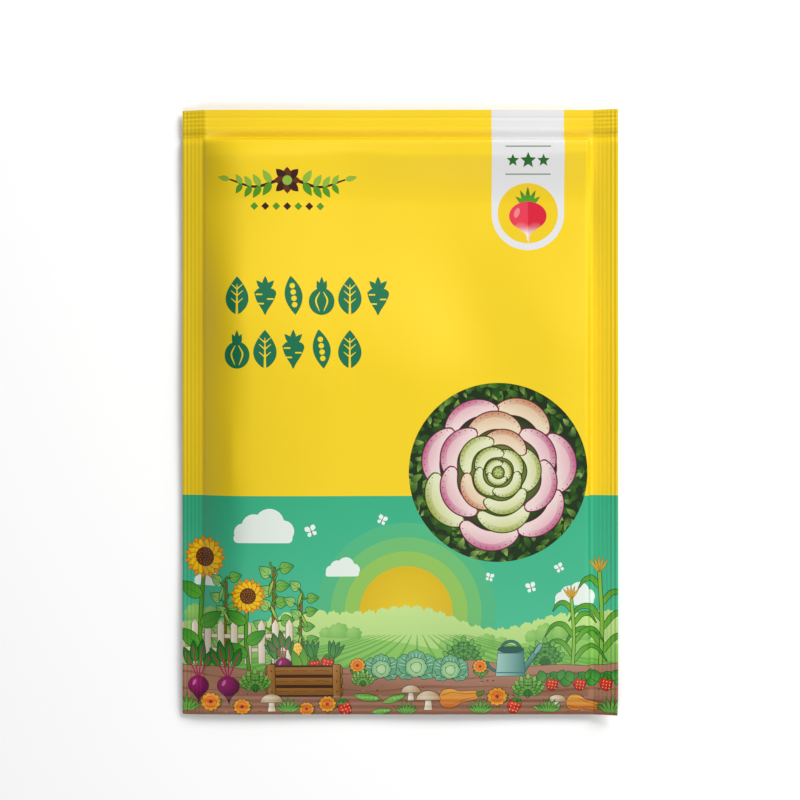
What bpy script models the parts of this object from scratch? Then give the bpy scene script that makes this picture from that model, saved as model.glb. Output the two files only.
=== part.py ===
# A sealed seed packet: two printed plastic films, heat-sealed to each other along all four
# edges, round a pinch of celery seeds. It lies on its back film with the printed front up.
# Metres, +Z up, +X across the packet and +Y towards its top edge. The origin is on the surface
# that the packet lies on, under the middle of its outline.
import math
import random

import bmesh
import bpy
from mathutils import Matrix

MM = 0.001

# The outline, and the four heat seals inside its edges
WIDTH = 100.0 * MM
HEIGHT = 139.0 * MM
SIDE_SEAL = 5.5 * MM
TOP_SEAL = 6.5 * MM
BOTTOM_SEAL = 4.5 * MM

# The two films, and the gap that keeps them separate solids
FILM = 0.2 * MM
SEAL_GAP = 0.1 * MM

# Heights over the surface it lies on: where the films meet, and how far each swells from there
SEAL_HEIGHT = 3.2 * MM
FRONT_SWELL = 4.6 * MM
FRONT_CROWN = 1.0 * MM
BACK_SWELL = SEAL_HEIGHT - SEAL_GAP / 2 - FILM

# How far in from a seal the swelling is complete, across and along the packet
FRONT_REACH_X = 18.0 * MM
FRONT_REACH_Y = 14.0 * MM
BACK_REACH = 17.0 * MM

# The side seals hang a little, the left one more than the right
LEFT_DROOP = math.radians(8)
RIGHT_DROOP = math.radians(4)

# The sealing jaws press fine ribs into the side and bottom seals
SIDE_RIBS = 6
BOTTOM_RIBS = 3
RIB_HEIGHT = 0.1 * MM

# The top seal has one ridge near the edge and a groove beside the pocket: (in from edge, height)
TOP_PROFILE = [
    (0.0, 0.0),
    (1.5 * MM, 0.0),
    (2.0 * MM, 0.12 * MM),
    (2.5 * MM, 0.0),
    (5.2 * MM, 0.0),
    (5.7 * MM, -0.12 * MM),
    (6.1 * MM, 0.0),
    (TOP_SEAL, 0.0),
]

# Steps of the films' mesh inwards from a seal, close together where the film bends most
SHOULDER_STEPS = [1.6 * MM, 3.6 * MM, 6.0 * MM, 9.0 * MM, 12.5 * MM, 17.0 * MM]
PANEL_STEP = 9.0 * MM

# The seeds, in one low heap towards the bottom of the pocket
SEED_LENGTH = 1.6 * MM
SEED_WIDTH = 1.05 * MM
SEED_THICKNESS = 0.9 * MM
SEED_COUNT = 100
SEED_TILT = math.radians(22)
SEED_PLACES = 7
HEAP_CENTRE = (2.0 * MM, -24.0 * MM)
HEAP_LENGTH = 15.0 * MM
HEAP_WIDTH = 11.0 * MM
HEAP_HEIGHT = 1.3 * MM
HEAP_CLEARANCE = 0.3 * MM
CORE_RIM = 0.3 * MM
CORE_SHARE = 0.97
CORE_SIDES = 24
CORE_RINGS = 4
MERGE_DISTANCE = 0.001 * MM
GOLDEN_ANGLE = math.pi * (3 - math.sqrt(5))

YELLOW = (0.95, 0.70, 0.04, 1.0)
PALE_YELLOW = (0.93, 0.69, 0.06, 1.0)
SEED_BROWN = (0.22, 0.13, 0.06, 1.0)


def material(name, colour, roughness):
    made = bpy.data.materials.new(name)
    made.use_nodes = True
    shader = made.node_tree.nodes["Principled BSDF"]
    shader.inputs["Base Color"].default_value = colour
    shader.inputs["Roughness"].default_value = roughness
    shader.inputs["Metallic"].default_value = 0.0
    made.diffuse_color = colour
    return made


def rib_profile(seal, ribs):
    """(in from edge, height) of evenly spaced ribs: a valley at each end and a crest on each rib."""
    step = seal / (2 * ribs)
    return [(i * step, RIB_HEIGHT * (i % 2)) for i in range(2 * ribs + 1)]


SIDE_PROFILE = rib_profile(SIDE_SEAL, SIDE_RIBS)
BOTTOM_PROFILE = rib_profile(BOTTOM_SEAL, BOTTOM_RIBS)


def along(profile, inwards):
    """The profile's height at this distance in from the edge, and 0 past its end."""
    for (near, low), (far, high) in zip(profile, profile[1:]):
        if near <= inwards <= far:
            return low + (high - low) * (inwards - near) / (far - near)
    return 0.0


def insets(x, y):
    """How far a point is from the left, right, bottom and top edges."""
    return x + WIDTH / 2, WIDTH / 2 - x, y + HEIGHT / 2, HEIGHT / 2 - y


def seam_height(x, y):
    """The surface half way between the films where they are sealed, ribs and droop included."""
    left, right, bottom, top = insets(x, y)
    ribs = along(SIDE_PROFILE, left) + along(SIDE_PROFILE, right)
    ribs += along(BOTTOM_PROFILE, bottom) + along(TOP_PROFILE, top)
    droop = max(SIDE_SEAL - left, 0) * math.tan(LEFT_DROOP)
    droop += max(SIDE_SEAL - right, 0) * math.tan(RIGHT_DROOP)
    return SEAL_HEIGHT + ribs - droop


def rounded(inwards, reach, power):
    """0 at the seal and 1 from reach inwards, steepest at the seal."""
    share = min(max(inwards / reach, 0), 1)
    return 1 - (1 - share) ** power


def pocket_shape(x, y, reach_x, reach_y, power):
    """0 along every seal and 1 over the middle of the pocket."""
    left, right, bottom, top = insets(x, y)
    across = rounded(min(left, right) - SIDE_SEAL, reach_x, power)
    lengthwise = rounded(min(bottom - BOTTOM_SEAL, top - TOP_SEAL), reach_y, power)
    return across * lengthwise


def front_rise(x, y):
    """How far the front film stands over the seam: a steep shoulder, then a low crown."""
    shoulder = pocket_shape(x, y, FRONT_REACH_X, FRONT_REACH_Y, 3)
    crown = (1 - (2 * x / WIDTH) ** 2) * (1 - (2 * y / HEIGHT) ** 2)
    return shoulder * (FRONT_SWELL + FRONT_CROWN * crown)


def back_drop(x, y):
    """How far the back film hangs under the seam: down to the flat area that it lies on."""
    return BACK_SWELL * pocket_shape(x, y, BACK_REACH, BACK_REACH, 2)


def front_inside(x, y):
    return seam_height(x, y) + SEAL_GAP / 2 + front_rise(x, y)


def front_outside(x, y):
    return front_inside(x, y) + FILM


def back_inside(x, y):
    return seam_height(x, y) - SEAL_GAP / 2 - back_drop(x, y)


def back_outside(x, y):
    return back_inside(x, y) - FILM


def grid_lines(size, low_profile, high_profile):
    """Where the mesh's lines cross one side of the packet: on every rib, then wider apart."""
    low = [-size / 2 + inset for inset, _ in low_profile]
    high = [size / 2 - inset for inset, _ in high_profile]
    low += [low[-1] + step for step in SHOULDER_STEPS]
    high += [high[-1] - step for step in SHOULDER_STEPS]
    count = round((high[-1] - low[-1]) / PANEL_STEP)
    between = [low[-1] + (high[-1] - low[-1]) * i / count for i in range(1, count)]
    return low + between + high[::-1]


def film(name, lower, upper, finish):
    """One film as a closed sheet between two surfaces, with flat stretches merged to large faces."""
    columns = grid_lines(WIDTH, SIDE_PROFILE, SIDE_PROFILE)
    rows = grid_lines(HEIGHT, BOTTOM_PROFILE, TOP_PROFILE)
    bm = bmesh.new()
    points = [[bm.verts.new((x, y, lower(x, y))) for x in columns] for y in rows]
    for near, far in zip(points, points[1:]):
        for i in range(len(columns) - 1):
            bm.faces.new((near[i], near[i + 1], far[i + 1], far[i]))
    raised = bmesh.ops.extrude_face_region(bm, geom=bm.faces[:])["geom"]
    for point in raised:
        if isinstance(point, bmesh.types.BMVert):
            point.co.z = upper(point.co.x, point.co.y)
    bmesh.ops.recalc_face_normals(bm, faces=bm.faces[:])
    bmesh.ops.dissolve_limit(
        bm, angle_limit=math.radians(0.05), verts=bm.verts[:], edges=bm.edges[:]
    )
    mesh = bpy.data.meshes.new(name)
    bm.to_mesh(mesh)
    bm.free()
    mesh.materials.append(finish)
    made = bpy.data.objects.new(name, mesh)
    bpy.context.scene.collection.objects.link(made)
    return made


def seed_shape():
    """One celery seed: a six-sided barrel with pointed ends, lying along X."""
    mesh = bpy.data.meshes.new("seed_shape")
    bm = bmesh.new()
    bmesh.ops.create_uvsphere(bm, u_segments=6, v_segments=3, radius=0.5)
    bmesh.ops.rotate(bm, verts=bm.verts[:], matrix=Matrix.Rotation(math.pi / 2, 3, "Y"))
    size = (SEED_LENGTH, SEED_WIDTH, SEED_THICKNESS)
    bmesh.ops.scale(bm, verts=bm.verts[:], vec=size)
    bm.to_mesh(mesh)
    bm.free()
    return mesh


def heap_height(out):
    """How far the heap stands over its rim, where out runs from 0 in its middle to 1 at the rim."""
    return HEAP_HEIGHT * (1 - out**2)


def heap_core(name, floor):
    """The low dome inside the heap that joins the seeds, hidden under them."""
    bm = bmesh.new()
    steps = [1 - i / CORE_RINGS for i in range(CORE_RINGS + 1)]
    profile = [(1.0, 0.0)] + [(out, CORE_RIM + heap_height(out)) for out in steps]
    points = [bm.verts.new((out, 0, height)) for out, height in profile]
    edges = [bm.edges.new(pair) for pair in zip(points, points[1:])]
    bmesh.ops.spin(
        bm,
        geom=points + edges,
        axis=(0, 0, 1),
        cent=(0, 0, 0),
        angle=2 * math.pi,
        steps=CORE_SIDES,
        use_merge=True,
    )
    bmesh.ops.remove_doubles(bm, verts=bm.verts[:], dist=MERGE_DISTANCE)
    rim = [edge for edge in bm.edges if edge.is_boundary]
    bmesh.ops.edgeloop_fill(bm, edges=rim)
    reach = (HEAP_LENGTH / 2 * CORE_SHARE, HEAP_WIDTH / 2 * CORE_SHARE, 1)
    bmesh.ops.scale(bm, verts=bm.verts[:], vec=reach)
    bmesh.ops.recalc_face_normals(bm, faces=bm.faces[:])
    mesh = bpy.data.meshes.new(name)
    bm.to_mesh(mesh)
    bm.free()
    core = bpy.data.objects.new(name, mesh)
    core.location = (*HEAP_CENTRE, floor)
    bpy.context.scene.collection.objects.link(core)
    return core


def place_seeds(shape, floor, chance):
    """Seeds over the dome in a sunflower's spiral, which spaces them evenly, each turned at random."""
    repeats = bpy.data.collections.new("seed_repeats")
    bpy.context.scene.collection.children.link(repeats)
    for i in range(SEED_COUNT):
        out = math.sqrt((i + 0.5) / SEED_COUNT)
        turn = i * GOLDEN_ANGLE
        seed = bpy.data.objects.new(f"seed_{i}", shape)
        seed.location = (
            HEAP_CENTRE[0] + out * math.cos(turn) * HEAP_LENGTH / 2,
            HEAP_CENTRE[1] + out * math.sin(turn) * HEAP_WIDTH / 2,
            floor + SEED_THICKNESS / 2 + heap_height(out),
        )
        roll = chance.uniform(0, math.pi)
        tilt = chance.uniform(-SEED_TILT, SEED_TILT) * (1 - out)
        seed.rotation_euler = (roll, tilt, chance.uniform(0, 2 * math.pi))
        repeats.objects.link(seed)
    return repeats


def seed_heap(name, finish):
    """All the seeds as one body: the dome and its seeds, united."""
    chance = random.Random(SEED_PLACES)
    floor = FILM + HEAP_CLEARANCE
    core = heap_core(name, floor)
    repeats = place_seeds(seed_shape(), floor, chance)
    union = core.modifiers.new("join_seeds", "BOOLEAN")
    union.operation = "UNION"
    union.operand_type = "COLLECTION"
    union.collection = repeats
    union.solver = "MANIFOLD"
    graph = bpy.context.evaluated_depsgraph_get()
    joined = bpy.data.meshes.new_from_object(core.evaluated_get(graph))
    core.modifiers.clear()
    core.data = joined
    core.data.materials.clear()
    core.data.materials.append(finish)
    for seed in list(repeats.objects):
        bpy.data.objects.remove(seed)
    bpy.data.collections.remove(repeats)
    return core


def main():
    for old in list(bpy.data.objects):
        bpy.data.objects.remove(old)
    printed = material("printed_film", YELLOW, 0.4)
    back_print = material("back_film_print", PALE_YELLOW, 0.42)
    husk = material("seed_husk", SEED_BROWN, 0.8)
    film("front_film", front_inside, front_outside, printed)
    film("back_film", back_outside, back_inside, back_print)
    seed_heap("seeds", husk)


main()
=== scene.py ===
import math

import bpy
import numpy as np
from mathutils.geometry import delaunay_2d_cdt
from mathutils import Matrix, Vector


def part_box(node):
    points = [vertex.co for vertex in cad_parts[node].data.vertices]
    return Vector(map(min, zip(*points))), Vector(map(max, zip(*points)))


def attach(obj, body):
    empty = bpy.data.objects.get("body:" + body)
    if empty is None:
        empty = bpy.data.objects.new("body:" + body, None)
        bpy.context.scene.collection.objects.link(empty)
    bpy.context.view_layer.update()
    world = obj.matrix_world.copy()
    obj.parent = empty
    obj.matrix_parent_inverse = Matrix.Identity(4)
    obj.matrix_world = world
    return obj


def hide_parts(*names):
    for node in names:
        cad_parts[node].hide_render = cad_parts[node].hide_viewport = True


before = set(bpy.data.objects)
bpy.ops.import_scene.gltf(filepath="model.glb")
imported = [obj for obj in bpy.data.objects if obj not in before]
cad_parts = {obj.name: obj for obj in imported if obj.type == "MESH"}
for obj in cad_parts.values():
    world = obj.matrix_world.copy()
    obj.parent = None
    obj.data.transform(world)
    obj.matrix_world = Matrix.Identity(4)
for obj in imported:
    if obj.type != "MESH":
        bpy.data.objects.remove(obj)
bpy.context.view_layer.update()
mm = 0.001
lowest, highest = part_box("front_film")
width = round((highest.x - lowest.x) / mm, 3)
height = round((highest.y - lowest.y) / mm, 3)
print(f"packed model loaded: an outline of {width:g} by {height:g} mm")


# The pouch's form

pouch = {
    "sideSeal": 5.5, "topSeal": 6.5, "bottomSeal": 4.5,  # widths of the heat seals
    "film": 0.2,  # thickness of each film
    "sealGap": 0.02,  # the films are welded here, so no gap shows at the edge
    "sealHeight": 3.2,  # where the films meet, over the surface the packet lies on
    "frontSwell": 4.6, "frontCrown": 1.0,  # the front's rise beside the seals, and its further crown
    "backReach": 17.0,  # how far in the back's swelling is complete
    "leftDroop": 20.0, "rightDroop": -18.0, "bottomDroop": 20.0,  # how far these seals hang, in degrees
    "sideRibs": 6, "bottomRibs": 3, "topRibs": 7, "ribHeight": 0.1,
    "topLines": ((1.85, 0.5, -0.10), (3.9, 0.4, -0.03)),  # pressed lines: how far in, half breadth, rise
    "topGroove": (0.55, 4.3, 6.2, 7.8),  # its depth, and where it starts, is deepest and ends
    "sealWave": 0.16,  # the seals' slow rise and fall, from the film's shrinking under the jaws
    "waveReach": 12.0,  # how far in that wave has died away
}

# the front's shoulders, by side: how far in each is complete, and the power of its curve
shoulders = {
    "left": (11.2, 1.6), "leftLow": (34.0, 1.7),  # below the middle, the left one goes on further in
    "right": (1.1, 2.0), "top": (1.0, 2.0), "bottom": (20.0, 1.7),
    "leftLowShare": 0.5, "leftLowFrom": 31.0, "leftLowTo": 7.0,  # between these heights it changes over
    "topShelf": 0.12, "topFrom": 9.0, "topFar": 56.0,  # the top shoulder's small first step, then the rest
    "leftStart": 0.6,  # the left shoulder starts this far within its seal
    "rightStart": 0.7,  # and the right one this far beyond it
    "taper": 0.5,  # the front's rise is less by this share at the right
}

# puffed rolls of the film beside the seals: rise, how far in the crest is, and how softly it falls beyond
frontRolls = {"left": (2.8, 10.2, 26.0), "right": (0.3, 1.8, 9.0), "bottom": (0.4, 5.0, 7.0)}
leftRollMore = (0.1, 4.0, 30.0)  # the left roll's further rise, and the heights it comes in between

# a welt under the top seal: rise, the widths of its climb and of its flat top, how far it falls beyond,
# and how softly its edge turns over
frontWelt = (2.0, 0.8, 2.8, 10.5, 0.9)

# soft rises and hollows of the front: x, y, reach across, reach along, turn in degrees, height
frontSwells = [
    (14.5, 30, 11, 23, 12, -2.1),
    (-2, 50, 32, 6, 2, -0.30),
    (36, 6, 6, 26, 3, 0.35),
    (-38.3, -10, 2.0, 9, 1, 0.42),
    (16, -30, 20, 20, 0, 0.3),
    (12, -57, 22, 5, 2, -0.30),
    (-12, 12, 4, 16, 24, -0.14),
    (8, 44, 5, 9, 40, -0.16),
]

# short gathers that run in from a seal: side, place along it, breadth, length, height
frontGathers = [
    ("top", -34, 4, 5, 0.22), ("top", -16, 8, 6, -0.24), ("top", 6, 7, 6, 0.18),
    ("top", 22, 5, 6, -0.22), ("top", 37, 4, 4, 0.20),
    ("bottom", -36, 4, 5, -0.22), ("bottom", -14, 6, 6, 0.22), ("bottom", 14, 7, 5, -0.20),
    ("bottom", 36, 3, 5, 0.20),
    ("left", 44, 6, 4, -0.25), ("left", 14, 11, 5, 0.18), ("left", -30, 9, 4, -0.20),
    ("left", -54, 4, 4, 0.18),
    ("right", 50, 5, 4, -0.25), ("right", 18, 9, 5, 0.16), ("right", -20, 9, 5, -0.20),
    ("right", -52, 4, 4, 0.20),
]


# how far each point is from the left, right, bottom and top edges
def insets(x, y):
    return x + width / 2, width / 2 - x, y + height / 2, height / 2 - y


# one wave of a raised cosine, centred this far in from the edge and this wide to each side
def ridge(inward, centre, reach, rise):
    near = np.clip(np.abs(inward - centre) / reach, 0, 1)
    return rise * (1 + np.cos(np.pi * near)) / 2


# evenly spaced ribs in a seal: a squared sine with one crest for each rib, and none past the seal
def ribs(inward, seal, count):
    return pouch["ribHeight"] * np.sin(np.pi * count * inward / seal) ** 2 * (inward < seal)


# a smooth step from 0 to 1 between two values: three squares less two cubes
def ease(value, low, high):
    share = np.clip((value - low) / (high - low), 0, 1)
    return share * share * (3 - 2 * share)


# the surface half way between the welded films: ribs, the top seal's lines, the droop of the sides,
# and a slow wave that fades towards the pocket
def seam(x, y):
    left, right, bottom, top = insets(x, y)
    side, end = np.minimum(left, right), np.minimum(bottom, top)
    leftRibs = ribs(left, pouch["sideSeal"], pouch["sideRibs"]) * (0.4 + 0.6 * ease(left, 2.0, 0.6))
    rightRibs = ribs(right, pouch["sideSeal"], pouch["sideRibs"]) * (0.3 + 0.9 * ease(right, 2.6, 0.8))
    level = leftRibs + rightRibs + ribs(bottom, pouch["bottomSeal"], pouch["bottomRibs"]) * 0.9
    for pressed in pouch["topLines"]:
        level = level + ridge(top, *pressed)
    depth, start, deepest, stop = pouch["topGroove"]
    level = level + depth * (ease(top, deepest, stop) - ease(top, start, deepest))
    level = level + ribs(top, pouch["topSeal"], pouch["topRibs"]) * ease(side, 6.5, 4.5) * 0.7
    hang = {edge: math.tan(math.radians(pouch[edge + "Droop"])) for edge in ("left", "right", "bottom")}
    droop = np.hypot(np.maximum(pouch["sideSeal"] - left, 0) * hang["left"],
                     np.maximum(pouch["bottomSeal"] - bottom, 0) * hang["bottom"])
    droop = droop + np.maximum(pouch["sideSeal"] - right, 0) * hang["right"]
    reach = pouch["waveReach"]
    wave = np.sin(y / 9.7 + 1) * ease(end - side, 0, reach) + np.sin(x / 7.5) * ease(side - end, 0, reach)
    fade = np.clip(1 - np.minimum(side, end) / reach, 0, 1) ** 2
    return pouch["sealHeight"] + level - droop + pouch["sealWave"] * wave * fade


# 0 at the seal and 1 from reach inwards, steepest at the seal: one minus a power of what is left to go
def rounded(inward, reach, power):
    return 1 - (1 - np.clip(inward / reach, 0, 1)) ** power


# a soft bell: Gaussian in both directions, turned by an angle
def bell(x, y, atX, atY, reachX, reachY, turn, rise):
    c, s = math.cos(math.radians(turn)), math.sin(math.radians(turn))
    u, v = (x - atX) * c + (y - atY) * s, (y - atY) * c - (x - atX) * s
    return rise * np.exp(-(u / reachX) ** 2 - (v / reachY) ** 2)


# a gather is 0 at the seal, highest at its own length inwards, then dies away, and is a bell along the seal
def gather(x, y, side, place, breadth, length, rise):
    left, right, bottom, top = insets(x, y)
    inward = {"left": left - pouch["sideSeal"], "right": right - pouch["sideSeal"],
              "bottom": bottom - pouch["bottomSeal"], "top": top - pouch["topSeal"]}[side]
    along = x if side in ("top", "bottom") else y
    inward = np.maximum(inward, 0) / length
    return rise * inward * np.exp(1 - inward) * np.exp(-((along - place) / breadth) ** 2)


# a roll's section: it climbs to its crest as one less a square, then falls away as a Gaussian
def roll(inward, rise, crest, beyond):
    return rise * rounded(inward, crest, 2) * np.exp(-(np.maximum(inward - crest, 0) / beyond) ** 2)


# the front's rise over its seam, from 0 at the seals to 1 over the middle: the product of its four
# shoulders, whose reach wavers a little along each seal. The top one first rises to a shelf.
def frontShoulder(x, y):
    left, right, bottom, top = insets(x, y)
    left, right = left - pouch["sideSeal"], right - pouch["sideSeal"] - shoulders["rightStart"]
    bottom, top = bottom - pouch["bottomSeal"], top - pouch["topSeal"]
    waver = 1 + 0.09 * np.sin(y / 11 + 2) + 0.05 * np.sin(y / 5.3)
    sway = 1 + 0.13 * np.sin(x / 8 + 1) + 0.07 * np.sin(x / 3.9)
    low = shoulders["leftLowShare"] * ease(y, shoulders["leftLowFrom"], shoulders["leftLowTo"])
    reach, power = shoulders["left"]
    left = left + shoulders["leftStart"]
    leftRise = (1 - low) * rounded(left, reach * waver, power) + low * rounded(left, *shoulders["leftLow"])
    reach, power = shoulders["right"]
    rightRise = rounded(right, reach * waver, power)
    reach, power = shoulders["top"]
    shelf = shoulders["topShelf"]
    topRise = shelf * rounded(top, reach, power)
    topRise = topRise + (1 - shelf) * ease(top, shoulders["topFrom"], shoulders["topFar"])
    reach, power = shoulders["bottom"]
    return leftRise * rightRise * topRise * rounded(bottom, reach * sway, power)


# the front film's lower face: the seam, its shoulders with a low crown, a roll beside each seal that ends
# before the corners, the welt, and the soft swells and gathers
def frontInside(x, y):
    left, right, bottom, top = insets(x, y)
    shoulder = frontShoulder(x, y)
    crown = (1 - (2 * x / width) ** 2) * (1 - (2 * y / height) ** 2)
    lower = 1 - shoulders["taper"] * left / width
    rise = shoulder * (pouch["frontSwell"] * lower + pouch["frontCrown"] * crown)
    left = left - pouch["sideSeal"] + shoulders["leftStart"]
    right = np.maximum(right - pouch["sideSeal"] - shoulders["rightStart"], 0)
    bottom, top = bottom - pouch["bottomSeal"], top - pouch["topSeal"]
    side = rounded(left, 9, 2) * rounded(right, *shoulders["right"])
    end = rounded(bottom, 15, 2) * rounded(top, 13, 2)
    more, low, high = leftRollMore
    fuller = 1 + more * ease(y, low, high)
    rise = rise + end * (fuller * roll(left, *frontRolls["left"]) + roll(right, *frontRolls["right"]))
    ripple = 1 + 0.25 * np.sin(x / 7 + 2) + 0.15 * np.sin(x / 3.1)
    rise = rise + side * ripple * roll(bottom, *frontRolls["bottom"])
    crest, climb, flat, fall, edge = frontWelt
    beyond = np.maximum(top - climb - flat * (1 + 0.12 * np.sin(x / 9) + 0.07 * np.sin(x / 4.1 + 1)), 0)
    beyond = np.hypot(beyond, edge) - edge
    rise = rise + crest * side * rounded(top, climb, 2) * (1 - rounded(beyond, fall, 1.5))
    for swell in frontSwells:
        rise = rise + shoulder * bell(x, y, *swell)
    for fold in frontGathers:
        rise = rise + np.sqrt(shoulder) * gather(x, y, *fold)
    return seam(x, y) + pouch["sealGap"] / 2 + rise


def frontOutside(x, y):
    return frontInside(x, y) + pouch["film"]


# the back film's lower face: down from the seam to the flat spot that the packet lies on
def backOutside(x, y):
    left, right, bottom, top = insets(x, y)
    drop = pouch["sealHeight"] - pouch["film"] - pouch["sealGap"] / 2
    level = seam(x, y) - pouch["sealGap"] / 2 - pouch["film"]
    reach = pouch["backReach"] * (1 + 0.08 * np.sin(y / 9) * np.cos(x / 8))
    across = rounded(np.minimum(left, right) - pouch["sideSeal"], reach, 2)
    along = rounded(np.minimum(bottom - pouch["bottomSeal"], top - pouch["topSeal"]), reach, 2)
    return np.maximum(level - drop * across * along, 0)


def backInside(x, y):
    return backOutside(x, y) + pouch["film"]


# Colours, outlines and printing

# an sRGB hex colour as three linear values
def linear(colour):
    value = np.array([int(colour[i:i + 2], 16) for i in (1, 3, 5)]) / 255
    return np.where(value <= 0.04045, value / 12.92, ((value + 0.055) / 1.055) ** 2.4)


# the direction that a turn in degrees points in, one long
def aimed(turn):
    return np.array([math.cos(math.radians(turn)), math.sin(math.radians(turn))])


# sizes an outline, turns it by degrees about the origin, then moves it
def placed(outline, x, y, turn=0, size=1):
    c, s = aimed(turn)
    return size * outline @ np.array([[c, s], [-s, c]]) + (x, y)


# the same for one point
def spot(across, along, x, y, turn=0, size=1):
    return placed(np.array([[across, along]]), x, y, turn, size)[0]


# an ellipse: cosine across and sine along
def ellipse(x, y, reachX, reachY, turn=0, points=24):
    angle = np.arange(points) * 2 * np.pi / points
    return placed(np.stack([reachX * np.cos(angle), reachY * np.sin(angle)], 1), x, y, turn)


# a round outline with lobes: its radius swings with the absolute cosine of half the lobes' angle
def lobed(x, y, reach, lobes, depth, squash=1, turn=0):
    angle = np.arange(lobes * 8) * 2 * np.pi / (lobes * 8)
    radius = reach * (1 - depth + depth * np.abs(np.cos(lobes * angle / 2)) ** 0.7)
    return placed(np.stack([radius * np.cos(angle), squash * radius * np.sin(angle)], 1), x, y, turn)


# a leaf grows from its base along its turn: half its breadth is a sine of a power of the way to its tip
def leaf(x, y, length, breadth, turn=90, curl=0, fullness=0.75, points=11):
    t = np.linspace(0, 1, points)
    half = breadth / 2 * np.sin(np.pi * t ** fullness) ** 0.9
    middle = curl * length * t ** 2
    upper, lower = np.stack([t * length, middle + half], 1), np.stack([t * length, middle - half], 1)
    return placed(np.concatenate([lower, upper[-2:0:-1]]), x, y, turn)


# a star: the radius is long and short by turns
def star(x, y, reach, tips, waist, turn=90):
    angle = np.arange(2 * tips) * np.pi / tips
    radius = np.where(np.arange(2 * tips) % 2, reach * waist, reach)
    return placed(np.stack([radius * np.cos(angle), radius * np.sin(angle)], 1), x, y, turn)


# a rectangle with rounded corners, each a quarter circle
def plate(x, y, across, along, corner=0.01, turn=0, points=5):
    quarter = np.linspace(0, np.pi / 2, points)
    arc = corner * np.stack([np.cos(quarter), np.sin(quarter)], 1)
    centre = np.array([across / 2 - corner, along / 2 - corner])
    sides = [placed(arc, 0, 0, 90 * i) + centre * sign
             for i, sign in enumerate([(1, 1), (-1, 1), (-1, -1), (1, -1)])]
    return placed(np.concatenate(sides), x, y, turn)


# a smooth path through its points: Catmull-Rom, this many steps to a span
def smooth(path, steps=6):
    path = np.array(path, float)
    path = np.concatenate([2 * path[:1] - path[1:2], path, 2 * path[-1:] - path[-2:-1]])
    a, b, c, d = (path[i:len(path) - 3 + i, None] for i in range(4))
    t = (np.arange(steps) / steps)[None, :, None]
    spans = 0.5 * (2 * b + (c - a) * t + (2 * a - 5 * b + 4 * c - d) * t ** 2
                   + (3 * b - a - 3 * c + d) * t ** 3)
    return np.concatenate([spans.reshape(-1, 2), path[-2:-1]])


# a stroke along a path: the path moved to each side by half its width, which may change along it
def stroke(path, breadth):
    path = np.array(path, float)
    way = np.gradient(path, axis=0)
    side = np.stack([-way[:, 1], way[:, 0]], 1) / np.linalg.norm(way, axis=1)[:, None]
    half = np.broadcast_to(np.array(breadth, float) / 2, len(path))[:, None]
    return np.concatenate([path - side * half, (path + side * half)[::-1]])


# an outline moved outwards by a distance, along the normal of its neighbours' chord
def grown(outline, distance):
    chord = np.roll(outline, -1, axis=0) - np.roll(outline, 1, axis=0)
    away = np.stack([chord[:, 1], -chord[:, 0]], 1)
    return outline + distance * away / np.maximum(np.linalg.norm(away, axis=1), 1e-9)[:, None]


contourInk = "#34421F"


# prints one outline over what is there. A second ink makes a gradient, from the first point to the second
# or, where the second is a number, outwards to that radius. A contour is a darker, grown copy below it.
def paint(art, outline, ink, fade=None, run=None, contour=0, edgeInk=contourInk, inside=None):
    area = np.sum(outline[:, 0] * np.roll(outline[:, 1], -1) - outline[:, 1] * np.roll(outline[:, 0], -1))
    outline = outline if area > 0 else outline[::-1]
    if contour:
        art.append({"outline": grown(outline, contour), "inks": (edgeInk, edgeInk), "run": None,
                    "inside": inside})
    art.append({"outline": outline, "inks": (ink, fade or ink), "run": run, "inside": inside})


# the share of the second ink at each point: how far it is along the run, or out from its centre
def fadeShare(points, run):
    if run is None:
        return np.zeros(len(points))
    start = np.array(run[0], float)
    if np.ndim(run[1]) == 0:
        return np.clip(np.linalg.norm(points - start, axis=1) / run[1], 0, 1)
    way = np.array(run[1], float) - start
    return np.clip((points - start) @ way / (way @ way), 0, 1)


# Motifs of the print, each in a place and a size of its own

line = 0.13  # breadth of a printed contour
goldenTurn = 2.39996  # in radians, from one point of a sunflower's spiral to the next


def paintRadish(art, x, y, size):
    for turn, length in ((140, 3.7), (40, 3.7), (115, 4.2), (65, 4.2), (90, 4.6)):
        paint(art, leaf(x, y + 2.1 * size, length * size, 1.15 * size, turn), "#6FAE3C", "#3F8436",
              ((x, y + 2 * size), (x, y + 6.5 * size)))
    globe = ellipse(0, 0, 4.3, 3.3, 0, 36)
    tail = [(-1.9, -3.1), (-0.5, -4.2), (0.1, -6.2), (0.5, -4.2), (1.9, -3.1)]
    body = np.concatenate([globe[:23], tail, globe[31:]]) * size + (x, y)
    run = ((x, y - 2.2 * size), (x, y - 4.2 * size))
    paint(art, body, "#EC4A5C", "#F6EDEA", run)
    paint(art, body[body[:, 0] >= x - 0.01], "#DF3048", "#EADAD8", run)
    paint(art, ellipse(x - 2.5 * size, y + 0.7 * size, 0.6 * size, 1.2 * size, -18, 14), "#F28C93")


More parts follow.
